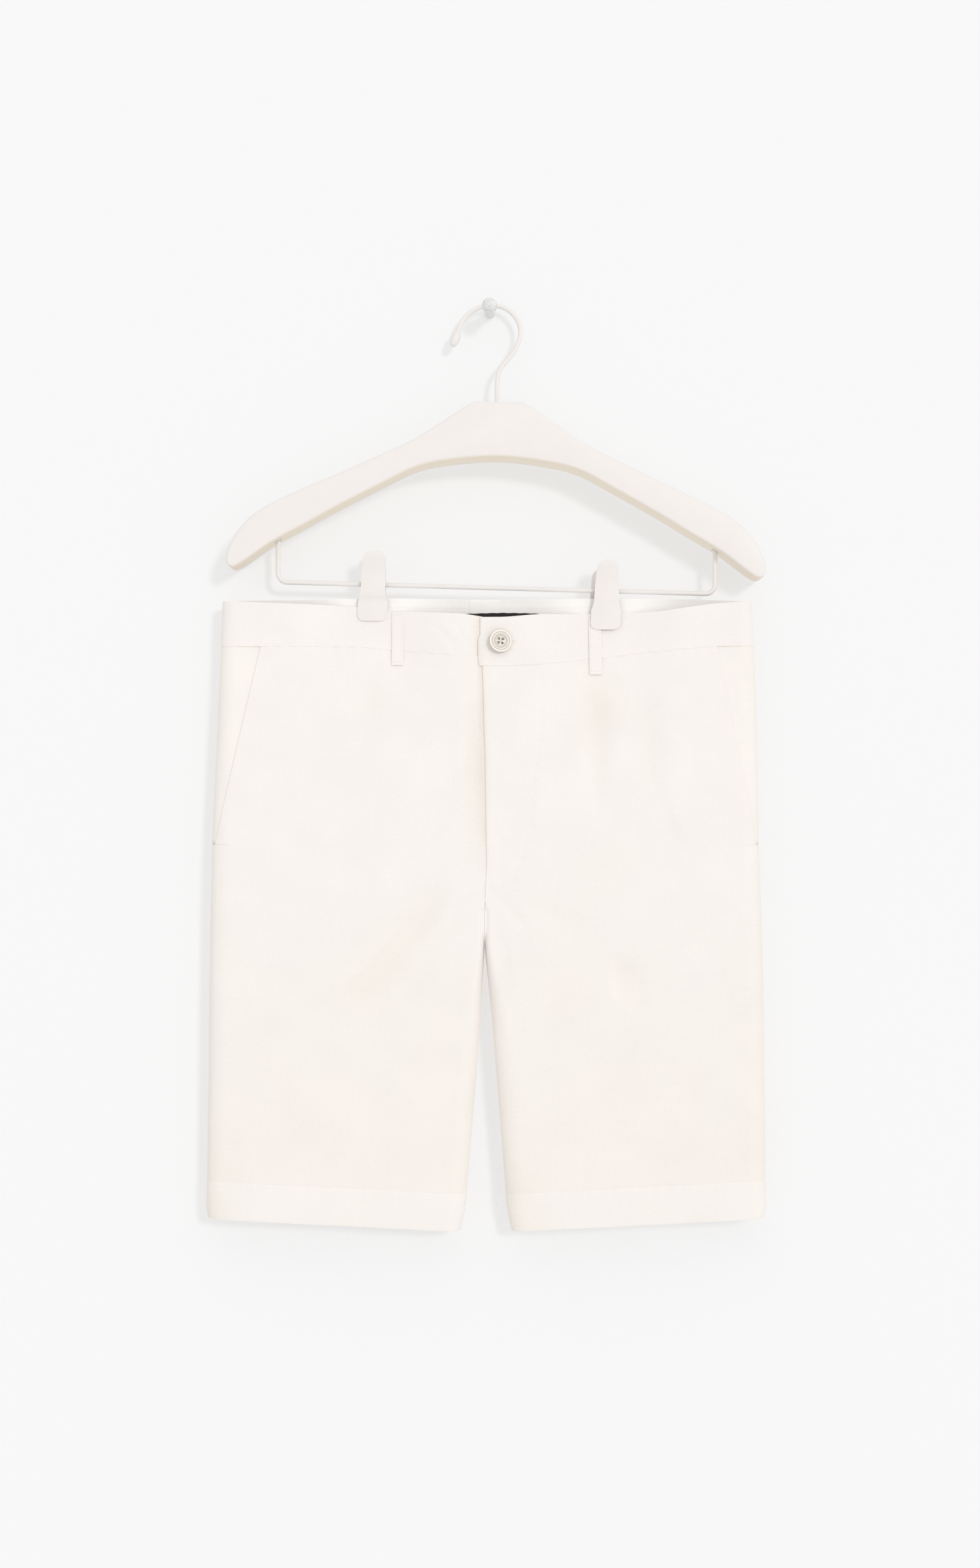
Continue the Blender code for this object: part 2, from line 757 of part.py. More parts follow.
def shorts(group, cutters):
    """All the cloth of the shorts."""
    for side, word in ((RIGHT, "right"), (LEFT, "left")):
        panel(f"front_{word}_panel", group, "front", side)
        panel(f"back_{word}_panel", group, "back", side)
        pocket_facing(f"pocket_facing_{word}", group, side)
        band = front_band(f"waistband_front_{word}", group, side)
        back_band(f"waistband_back_{word}", group, side)
    width = BUTTONHOLE_X[1] - BUTTONHOLE_X[0]
    work = bmesh.new()
    centre = Vector((BUTTONHOLE_X[0] + width / 2.0, MID_Y - 0.0120, BUTTONHOLE_Z))
    size = Matrix.Diagonal((width, 0.0100, BUTTONHOLE_WIDTH, 1.0))
    bmesh.ops.create_cube(work, size=1.0, matrix=Matrix.Translation(centre) @ size)
    mesh = bpy.data.meshes.new("buttonhole")
    work.to_mesh(mesh)
    work.free()
    cut(band, place("buttonhole", mesh, cutters))
    strip("belt_loop_front_right", group, "front", -0.0772, 0.0100, -0.2550, -0.3005)
    strip("belt_loop_front_left", group, "front", 0.0885, 0.0108, -0.2575, -0.3085, 0.0008)
    strip("belt_loop_back_right", group, "back", -0.1660, 0.0100, -0.2490, -0.2960)
    strip("belt_loop_back_centre", group, "back", -0.0040, 0.0100, -0.2490, -0.2960)
    strip("belt_loop_back_left", group, "back", 0.1600, 0.0100, -0.2490, -0.2960)
    label("back_label", group)


# ---------------------------------------------------------------- button

def waist_button(group, cutters):
    """The four-hole button on the overlap, tilted a little on its thread."""
    band = surface("front", BUTTON_X, BUTTON_Z)
    face_y = band.y - OVERLAP_BAND_RISE
    made = turned("waist_button", group, BUTTON_PROFILE, 28, "button")
    made.location = (BUTTON_X, face_y - BUTTON_STAND, BUTTON_Z)
    made.rotation_euler = (math.radians(90.0) + BUTTON_TILT[0], BUTTON_TILT[1], 0.0)
    bpy.context.view_layer.update()
    axis = made.matrix_world.to_3x3() @ Vector((0.0, 0.0, 1.0))
    for index in range(4):
        angle = math.radians(55.0 + 90.0 * index)
        offset = Vector((math.cos(angle), math.sin(angle), 0.0)) * BUTTON_HOLE_OFFSET * math.sqrt(2.0)
        centre = made.matrix_world @ (offset + Vector((0.0, 0.0, 0.001)))
        hole = cylinder(f"button_hole_{index}", cutters, BUTTON_HOLE_RADIUS, 0.010, centre, axis, 10)
        cut(made, hole)
    under = band.y - UNDERLAP_DIP - GAP
    top = face_y - BUTTON_STAND + GAP + 0.0002
    middle = (BUTTON_X, (under + top) / 2.0, BUTTONHOLE_Z)
    cylinder("button_thread", group, THREAD_RADIUS, under - top, middle, (0.0, 1.0, 0.0), 10, "thread")


# ---------------------------------------------------------------- hanger

def wire(name, group, points, radius):
    """A round wire along a list of points, as a curve with closed ends."""
    curve = bpy.data.curves.new(name, "CURVE")
    curve.dimensions = "3D"
    curve.bevel_depth = radius
    curve.bevel_resolution = 2
    curve.use_fill_caps = True
    line = curve.splines.new("POLY")
    line.points.add(len(points) - 1)
    for point, place_at in zip(line.points, points):
        point.co = (*place_at, 1.0)
    return place(name, curve, group)


def smooth_route(points, steps):
    """A smooth curve through points, as a Catmull-Rom spline read in equal steps."""
    ends = [points[0] * 2.0 - points[1]] + points + [points[-1] * 2.0 - points[-2]]
    route = []
    for index in range(1, len(ends) - 2):
        before, start, stop, after = ends[index - 1:index + 3]
        for step in range(steps):
            t = step / steps
            route.append(0.5 * (2.0 * start + (stop - before) * t
                                + (2.0 * before - 5.0 * start + 4.0 * stop - after) * t ** 2
                                + (3.0 * start - before - 3.0 * stop + after) * t ** 3))
    route.append(points[-1])
    return route


def hook_y(z):
    """The hook's wire leans towards the wall from its foot to its top."""
    top = max(point.height for point in HOOK_LINE)
    return HOOK_FOOT_Y + (HOOK_TOP_Y - HOOK_FOOT_Y) * (z - STEM_FOOT_Z) / (top - STEM_FOOT_Z)


def hanger_hook(group):
    """The hook's wire with its drop-shaped end, in one piece."""
    points = [Vector((point.across, hook_y(point.height), point.height)) for point in HOOK_LINE]
    route = smooth_route(points, 3)
    hook = as_mesh(wire("hanger_hook", group, route, WIRE_RADIUS), group, "hook")
    direction = (route[-1] - route[-2]).normalized()
    rings = [(radius, height) for radius, height in HOOK_TIP]
    profile = [(HOOK_TIP_LENGTH, 0.0)] + [(height, radius) for radius, height in reversed(rings)]
    profile.append((-0.0030, WIRE_RADIUS * 0.6))
    profile.append((-0.0030, 0.0))
    tip = turned("hook_tip", group, profile, 12, "hook")
    tip.rotation_mode = "QUATERNION"
    tip.location = route[-1]
    tip.rotation_quaternion = direction.to_track_quat("Z", "Y")
    tip.hide_render = True
    tip.display_type = "WIRE"
    join = hook.modifiers.new("tip", "BOOLEAN")
    join.operation = "UNION"
    join.solver = "EXACT"
    join.object = tip
    return tip


def arm_outline():
    """The whole closed outline of the hanger's body, in its own plane."""
    half = [(point.reach, -point.drop) for point in ARM_OUTLINE]
    mirrored = [(-reach, drop) for reach, drop in reversed(half)]
    return half + [(0.0, -CENTRE_DROP)] + mirrored


def hanger_body(group, cutters):
    """The plain hanger body, with sockets for the hook's stem and the trouser bar."""
    curve = bpy.data.curves.new("hanger_body", "CURVE")
    curve.dimensions = "2D"
    curve.fill_mode = "BOTH"
    curve.extrude = HANGER_DEPTH / 2.0 - HANGER_EDGE
    curve.bevel_depth = HANGER_EDGE
    curve.bevel_resolution = 1
    curve.offset = -HANGER_EDGE
    curve.resolution_u = 3
    points = arm_outline()
    line = curve.splines.new("BEZIER")
    line.bezier_points.add(len(points) - 1)
    for knot, (reach, drop) in zip(line.bezier_points, points):
        knot.co = (reach, drop, 0.0)
        knot.handle_left_type = "AUTO"
        knot.handle_right_type = "AUTO"
    line.use_cyclic_u = True
    body = place("hanger_body", curve, group)
    turn = Matrix.Rotation(HANGER_ROLL, 4, "Y") @ Matrix.Rotation(math.radians(90.0), 4, "X")
    body.matrix_world = Matrix.Translation((HANGER_X, MID_Y, HANGER_TOP_Z)) @ turn
    bpy.context.view_layer.update()
    body = as_mesh(body, group, "plastic")
    smooth(body.data, 40.0)
    sockets = (
        (HOOK_LINE[0].across, STEM_FOOT_Z - GAP, STEM_FOOT_Z + 0.0300, WIRE_RADIUS),
        (BAR_LEFT_X, BAR_LEFT_Z, BAR_TOP_LEFT_Z + GAP, BAR_RADIUS),
        (BAR_RIGHT_X, BAR_RIGHT_Z, BAR_TOP_RIGHT_Z + GAP, BAR_RADIUS),
    )
    for index, (x, low, high, radius) in enumerate(sockets):
        y = hook_y((low + high) / 2.0) if index == 0 else MID_Y
        axis = (0.0, hook_y(1.0) - hook_y(0.0), 1.0) if index == 0 else (0.0, 0.0, 1.0)
        socket = cylinder(f"socket_{index}", cutters, radius + SOCKET_CLEARANCE, high - low,
                          (x, y, (low + high) / 2.0), axis, 12)
        cut(body, socket)


def corner(centre_x, centre_z, start_degrees, stop_degrees, radius):
    """A quarter turn of the trouser bar."""
    points = []
    for step in range(5):
        angle = math.radians(start_degrees + (stop_degrees - start_degrees) * step / 4)
        points.append(Vector((centre_x + radius * math.cos(angle), MID_Y,
                              centre_z + radius * math.sin(angle))))
    return points


def trouser_bar(group):
    """The bar under the hanger, bent up at both ends into the arms."""
    route = [Vector((BAR_RIGHT_X, MID_Y, BAR_TOP_RIGHT_Z))]
    route += corner(BAR_RIGHT_X + BAR_CORNER, BAR_RIGHT_Z + BAR_CORNER, 180.0, 270.0, BAR_CORNER)
    route += corner(BAR_LEFT_X - BAR_CORNER, BAR_LEFT_Z + BAR_CORNER, 270.0, 360.0, BAR_CORNER)
    route.append(Vector((BAR_LEFT_X, MID_Y, BAR_TOP_LEFT_Z)))
    as_mesh(wire("trouser_bar", group, route, BAR_RADIUS), group, "plastic")


# ---------------------------------------------------------------- clips

def bar_height(x):
    """The middle of the trouser bar at a place across."""
    share = (x - BAR_RIGHT_X) / (BAR_LEFT_X - BAR_RIGHT_X)
    return BAR_RIGHT_Z + (BAR_LEFT_Z - BAR_RIGHT_Z) * share


def clip_lever(name, group, side, sign, grip_stand):
    """One lever of a clip: a bent plate with a round handle and a wider jaw."""
    work = bmesh.new()
    loops = []
    centre = CLIP_X[side]
    pivot = bar_height(centre)
    for row in CLIP_ROWS:
        stand = max(row.stand, grip_stand)
        z = CLIP_TOP_Z[side] - row.drop
        lean = math.tan(CLIP_LEAN[side]) * (z - pivot)
        inside = MID_Y + sign * stand
        outside = inside + sign * CLIP_WALL
        corners = ((-row.half, inside), (row.half, inside), (row.half, outside), (-row.half, outside))
        loops.append([work.verts.new((centre + lean + x, y, z)) for x, y in corners])
    for upper, lower in zip(loops, loops[1:]):
        for index in range(4):
            after = (index + 1) % 4
            work.faces.new((upper[index], upper[after], lower[after], lower[index]))
    work.faces.new(loops[0])
    work.faces.new(loops[-1])
    bmesh.ops.recalc_face_normals(work, faces=work.faces)
    mesh = bpy.data.meshes.new(name)
    work.to_mesh(mesh)
    work.free()
    smooth(mesh, 30.0)
    return place(name, mesh, group, "plastic")


def clip(group, cutters, side, word):
    """A clip on the bar: two levers and the sleeve that rides on the bar between them."""
    clip_lever(f"clip_{word}_front", group, side, -1.0, CLIP_FRONT_GRIP[side])
    clip_lever(f"clip_{word}_back", group, side, 1.0, CLIP_BACK_GRIP)
    slope = (BAR_LEFT_Z - BAR_RIGHT_Z) / (BAR_LEFT_X - BAR_RIGHT_X)
    axis = (1.0, 0.0, slope)
    centre = (CLIP_X[side], MID_Y, bar_height(CLIP_X[side]))
    name = f"clip_{word}_sleeve"
    sleeve = cylinder(name, group, SLEEVE_OUTER, SLEEVE_LENGTH, centre, axis, 16, "plastic")
    bore = cylinder(f"{name}_bore", cutters, SLEEVE_INNER, SLEEVE_LENGTH * 2.0, centre, axis, 12)
    cut(sleeve, bore)


def wall_knob(group):
    """The knob that the hook hangs on, with its flat back on the wall."""
    knob = turned("wall_knob", group, KNOB_PROFILE, 24, "knob")
    knob.rotation_euler = (math.radians(90.0), 0.0, 0.0)


def main():
    """Build every piece in order."""
    clear_scene()
    group = collection(NAME)
    cutters = collection("cutters")
    shorts(group, cutters)
    waist_button(group, cutters)
    tip = hanger_hook(group)
    group.objects.unlink(tip)
    cutters.objects.link(tip)
    hanger_body(group, cutters)
    trouser_bar(group)
    for side, word in ((RIGHT, "right"), (LEFT, "left")):
        clip(group, cutters, side, word)
    wall_knob(group)
    root = bpy.data.objects.new(NAME, None)
    group.objects.link(root)
    for piece in group.objects:
        if piece is not root:
            piece.parent = root


main()
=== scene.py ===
"""White bermuda shorts, held by two clips on a plain hanger that hangs on a wall knob.

Metres, +Z up. The wall is the plane y = 0 and the front of the shorts faces -Y. Right and left
are the wearer's: right is at -X and left at +X.
"""
import logging
import math
from dataclasses import dataclass, field
from enum import Enum
from typing import NamedTuple

import bmesh
import bpy
import numpy as np
from mathutils import Matrix, Vector


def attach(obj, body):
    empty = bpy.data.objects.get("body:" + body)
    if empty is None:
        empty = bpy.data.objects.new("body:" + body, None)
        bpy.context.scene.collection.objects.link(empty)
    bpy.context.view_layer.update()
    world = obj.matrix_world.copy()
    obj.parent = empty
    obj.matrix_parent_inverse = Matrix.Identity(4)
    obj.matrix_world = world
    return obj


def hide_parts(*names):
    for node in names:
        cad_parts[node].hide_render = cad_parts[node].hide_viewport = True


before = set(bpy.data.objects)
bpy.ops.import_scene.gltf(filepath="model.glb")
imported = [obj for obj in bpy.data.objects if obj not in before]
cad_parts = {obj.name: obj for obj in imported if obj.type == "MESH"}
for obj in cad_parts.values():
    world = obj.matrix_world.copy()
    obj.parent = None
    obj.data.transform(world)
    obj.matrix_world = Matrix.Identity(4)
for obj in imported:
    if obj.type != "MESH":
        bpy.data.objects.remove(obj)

LOG = logging.getLogger("shorts")
Array = np.ndarray
Triple = tuple[float, float, float]
Pair = tuple[float, float]
Work = bmesh.types.BMesh
Piece = bpy.types.Object
Mesh = bpy.types.Mesh
Paint = bpy.types.Material
Socket = bpy.types.NodeSocket

MM = 0.001
SAME_PLACE = 0.00001
DENSE_PLACES = 4001
WALL_LEVELS = 20.0
STITCH_STEP = 0.0004

# Depths: what hangs shares one middle plane, and the cloth's front and back part from it.
MID_Y = -0.022
GAP = 0.0003
SEAM_HALF_GAP = 0.00006
REACH_PER_DEPTH = 1.25
SEAM_TUCK = 0.0006

# Heights of the shorts.
TOP_Z = -0.2465
SEAM_Z = -0.2848
SETTLE_Z = -0.36
POCKET_END_Z = -0.4503
FLY_END_Z = -0.464
OVERLAP_END_Z = -0.5
CROTCH_Z = -0.507
CROTCH_X = -0.004
HEM_TILT_Z = -0.56
HEM_Z = -0.764
HEM_DROP = 0.011
HEM_WIDTH = 0.032

# Fly and waist overlap.
UNDERLAP_X = 0.03
UNDERLAP_DIP = -0.0001
BAND_DIP = -0.0005
OVERLAP_RISE = 0.0012
OVERLAP_BAND_RISE = 0.0019
OVERLAP_FADE_X = (0.034, 0.06)
DIP_FADE_X = (-0.03, -0.014)
UNDER_BAND_X = 0.028
BUTTONHOLE_X = (0.007, 0.023)
BUTTONHOLE_Z = -0.2808

# Flat cuts: heights, heights that count for the area, and what folds add to a width or slants take off.
PANEL_SPAN = 0.19
PANEL_FLAT_Z = 0.492
PANEL_CLOTH_Z = 0.482
PANEL_FOLDS = 0.02
PANEL_SLANT = 0.014
BAND_FLAT_Z = 0.043
BAND_CLOTH_Z = 0.04
BAND_FOLD = 0.006

# Cloth walls.
PANEL_WALL = 0.0011
HEM_WALL = 0.0021
BAND_WALL = 0.0022
BAND_RISE = 0.0005
FACING_WALL = 0.001
FACING_HIDE = 0.00125
LOOP_WALL = 0.0014
LOOP_GAP = 0.0001
LOOP_BOW = 0.0004
LABEL_WALL = 0.0006

# Clips, bar and hanger.
CLIP_X = (-0.0975, 0.0985)
GRIP_DEPTH = 0.00185
GRIP_FADE_X = (0.0165, 0.07)
GRIP_FADE_Z = (-0.275, -0.35)
CLIP_BACK_GRIP = 0.00275
BAR_LEFT = (0.1899, -0.2398)
BAR_RIGHT = (-0.1779, -0.2302)
BAR_TOPS = (-0.189, -0.195)
BAR_RADIUS = 0.002
BAR_CORNER = 0.008
HANGER_X = 0.0082
HANGER_TOP_Z = -0.081
HANGER_DEPTH = 0.036
HANGER_EDGE = 0.0026
HANGER_ROLL = math.radians(1.2)
WIRE_RADIUS = 0.0019
STEM_FOOT_Z = -0.093
HOOK_TOP_Y = -0.01


class Face(Enum):
    """The two faces of the shorts, and the way each looks along Y."""

    FRONT = -1.0
    BACK = 1.0


class Side(Enum):
    """The wearer's two sides, and where each lies along X."""

    RIGHT = -1
    LEFT = 1

    @property
    def word(self) -> str:
        """The side's name in lower case."""
        return self.name.lower()


# ------------------------------------------------------------------ curves and easing

def ease(low: float, high: float, value: Array) -> Array:
    """Share of the way from low to high, eased at both ends.

    Args:
        low: Where the share is 0.
        high: Where the share is 1.
        value: The places to read.

    Returns:
        The share at each place, from 0 to 1.
    """
    share = np.clip((np.asarray(value, float) - low) / (high - low), 0.0, 1.0)
    return share * share * (3.0 - 2.0 * share)


@dataclass(frozen=True)
class Profile:
    """A curve through a few (place, value) points, softened where it bends."""

    points: tuple[Pair, ...]
    blur: float = 0.0

    def at(self, place: Array | float) -> Array:
        """Read the curve.

        Args:
            place: The places to read.

        Returns:
            The value at each place.
        """
        ordered = sorted(self.points)
        places = [point[0] for point in ordered]
        values = [point[1] for point in ordered]
        shifts = np.linspace(-self.blur, self.blur, 7)
        return sum(np.interp(np.asarray(place, float) + shift, places, values) for shift in shifts) / 7.0


def smooth_route(points: list[Vector] | list[tuple[float, ...]], steps: int) -> Array:
    """A smooth curve through points.

    Args:
        points: The points that the curve passes.
        steps: Places on each run between two points.

    Returns:
        The places along the curve, one to a row.
    """
    own = np.array([tuple(point) for point in points], float)
    ends = np.vstack([own[0] * 2.0 - own[1], own, own[-1] * 2.0 - own[-2]])
    share = (np.arange(steps) / steps)[:, None]
    runs = []
    for before, start, stop, after in zip(ends, ends[1:], ends[2:], ends[3:]):
        runs.append(0.5 * (2.0 * start + (stop - before) * share
                           + (2.0 * before - 5.0 * start + 4.0 * stop - after) * share ** 2
                           + (3.0 * start - before - 3.0 * stop + after) * share ** 3))
    return np.vstack(runs + [own[-1:]])


def beside(route: Array, x: Array, z: Array, overrun: float = 0.0) -> tuple[Array, Array]:
    """Find where places lie beside a route.

    Args:
        route: Places along the route.
        x: Places across.
        z: Heights.
        overrun: How far the route runs on past its ends, in steps.

    Returns:
        How many steps along the route each place lies, and how far to its side.
    """
    nearest = np.full(x.shape, np.inf)
    along, aside = np.zeros(x.shape), np.zeros(x.shape)
    for index, (start, stop) in enumerate(zip(route, route[1:])):
        run = stop - start
        from_x, from_z = x - start[0], z - start[1]
        low = -overrun if index == 0 else 0.0
        high = 1.0 + overrun if index == len(route) - 2 else 1.0
        share = np.clip((from_x * run[0] + from_z * run[1]) / float(run @ run), low, high)
        away = np.hypot(from_x - run[0] * share, from_z - run[1] * share)
        closer = away < nearest
        nearest = np.where(closer, away, nearest)
        along = np.where(closer, index + share, along)
        aside = np.where(closer, away * np.sign(run[0] * from_z - run[1] * from_x), aside)
    return along, aside


class Section(NamedTuple):
    """The outline at one height, and how far front and back stand from the middle plane."""

    height: float
    right_out: float
    right_in: float
    left_in: float
    left_out: float
    front: float
    back: float


SECTIONS = tuple(Section(*row) for row in (
    (-0.2465, -0.224, -0.0042, -0.0039, 0.22, 0.009, 0.006),
    (-0.287, -0.2257, -0.0042, -0.0039, 0.2225, 0.0105, 0.0075),
    (-0.341, -0.2282, -0.0042, -0.0039, 0.2249, 0.012, 0.01),
    (-0.45, -0.2333, -0.0042, -0.0039, 0.2267, 0.013, 0.012),
    (-0.507, -0.2345, -0.00415, -0.00385, 0.2287, 0.013, 0.012),
    (-0.53, -0.2349, -0.0041, -0.0039, 0.2295, 0.013, 0.012),
    (-0.54, -0.235, -0.0042, -0.0037, 0.2297, 0.013, 0.012),
    (-0.594, -0.2358, -0.0072, 0.0018, 0.2308, 0.013, 0.012),
    (-0.666, -0.2365, -0.0126, 0.0076, 0.2317, 0.0128, 0.0118),
    (-0.757, -0.2379, -0.0203, 0.0148, 0.2327, 0.012, 0.011),
    (-0.7775, -0.2335, -0.0249, 0.019, 0.2283, 0.0115, 0.0105),
))
SECTION_BLUR = 0.006

WAIST_TOP = {
    Side.RIGHT: Profile(((-0.2257, -0.2465), (-0.111, -0.2507), (-0.085, -0.2539), (-0.058, -0.2555),
                         (-0.022, -0.2572), (-0.008, -0.2594), (0.006, -0.2622), (0.03, -0.2622)), 0.005),
    Side.LEFT: Profile(((-0.0094, -0.2602), (0.013, -0.2602), (0.042, -0.2576), (0.083, -0.2567),
                        (0.144, -0.255), (0.188, -0.2486), (0.2225, -0.2465)), 0.005),
}
BACK_TOP = Profile(((-0.224, -0.2462), (-0.21, -0.2452), (-0.1, -0.2436), (0.0, -0.2443),
                    (0.1, -0.2437), (0.17, -0.244), (0.206, -0.2452), (0.22, -0.2462)), 0.004)
WAIST_SEAM = {
    Side.RIGHT: Profile(((-0.2257, -0.2848), (-0.111, -0.2848), (-0.085, -0.2872), (-0.058, -0.2896),
                         (-0.022, -0.2928), (0.03, -0.294)), 0.004),
    Side.LEFT: Profile(((-0.0094, -0.3013), (0.013, -0.3013), (0.042, -0.2999), (0.083, -0.2954),
                        (0.144, -0.2887), (0.188, -0.2846), (0.2225, -0.2843)), 0.004),
}
FLY_EDGE = Profile(((-0.3013, -0.0059), (-0.3264, -0.0049), (-0.3774, -0.0032), (-0.4677, -0.0022),
                    (-0.507, -0.004)), 0.003)
BAND_EDGE = Profile(((-0.26, -0.0075), (-0.2645, -0.0094), (-0.275, -0.0094), (-0.29, -0.0079),
                     (-0.302, -0.0054)), 0.0012)
POCKET_EDGE = {
    Side.RIGHT: Profile(((-0.2848, -0.1915), (-0.4503, -0.2298))),
    Side.LEFT: Profile(((-0.2848, 0.1905), (-0.4503, 0.2232))),
}
FLY_STITCHING = ((0.0433, -0.304), (0.0433, -0.3588), (0.0379, -0.3919), (0.0325, -0.4422),
                 (0.0217, -0.4785), (0.0141, -0.4856), (-0.001, -0.489))


# ------------------------------------------------------------------ creases

def in_metres(point: Pair) -> Pair:
    """A place that is given in millimetres."""
    return point[0] * MM, point[1] * MM


@dataclass(frozen=True)
class Crease:
    """A soft trough (depth below zero) or ridge along a bent path on one face."""

    face: Face
    path: tuple[Pair, ...]
    width: float
    depth: float
    lean: float = 0.0
    shoulder: float = 0.0
    fade: float = 0.3

    def relief(self, x: Array, z: Array) -> Array:
        """How far the crease lifts the cloth.

        Args:
            x: Places across.
            z: Heights.

        Returns:
            The lift at each place, below zero in a trough.
        """
        route = smooth_route(self.path, 7)
        along, aside = beside(route, x, z, 0.6)
        along /= len(route) - 1
        phase = 700.0 * self.path[0][0] + 500.0 * self.path[0][1]
        uneven = 1.0 + 0.22 * np.sin(9.0 * along + phase) + 0.12 * np.sin(23.0 * along + 2.0 * phase)
        width = self.width * (1.0 + self.lean * np.tanh(aside / self.width))
        width = width * (1.0 + 0.2 * np.sin(6.0 * along + 1.7 * phase))
        across = aside / width
        shape = np.exp(-across ** 2) - self.shoulder * np.exp(-((np.abs(across) - 2.0) / 0.8) ** 2)
        ends = ease(-0.02, self.fade, along) * (1.0 - ease(1.0 - self.fade, 1.02, along))
        return self.depth * shape * ends * uneven


@dataclass(frozen=True)
class BroadFold:
    """A broad trough that the solid beneath the cloth shares."""

    face: Face
    start: Pair
    stop: Pair
    width: float
    depth: float

    def relief(self, x: Array, z: Array) -> Array:
        """How far the fold lifts the cloth.

        Args:
            x: Places across.
            z: Heights.

        Returns:
            The lift at each place.
        """
        run_x, run_z = self.stop[0] - self.start[0], self.stop[1] - self.start[1]
        from_x, from_z = x - self.start[0], z - self.start[1]
        along = (from_x * run_x + from_z * run_z) / (run_x ** 2 + run_z ** 2)
        aside = np.hypot(from_x - run_x * along, from_z - run_z * along) / self.width
        ends = ease(-0.15, 0.3, along) * (1.0 - ease(0.55, 1.15, along))
        return self.depth * ends * np.exp(-aside ** 2)


# Rows in millimetres: the start, the stop, the width and the depth.
FOLD_ROWS = {
    Face.FRONT: (
        ((-14.5, -340), (-13.5, -480), 8, -2.4),
        ((88, -315), (92, -420), 13, -2.2),
        ((131, -310), (134, -415), 12, -1.8),
        ((-35, -480), (-120, -585), 18, -3),
        ((108, -545), (127, -590), 12, -2.2),
        ((-100, -300), (-103, -370), 15, -1.6),
    ),
    Face.BACK: (
        ((-98, -305), (-105, -430), 16, -2.4),
        ((100, -305), (108, -420), 16, -2.4),
        ((-30, -485), (-105, -565), 20, -2.6),
        ((25, -485), (95, -560), 20, -2.4),
    ),
}
BROAD_FOLDS = tuple(BroadFold(face, in_metres(start), in_metres(stop), width * MM, depth * MM)
                    for face, rows in FOLD_ROWS.items() for start, stop, width, depth in rows)

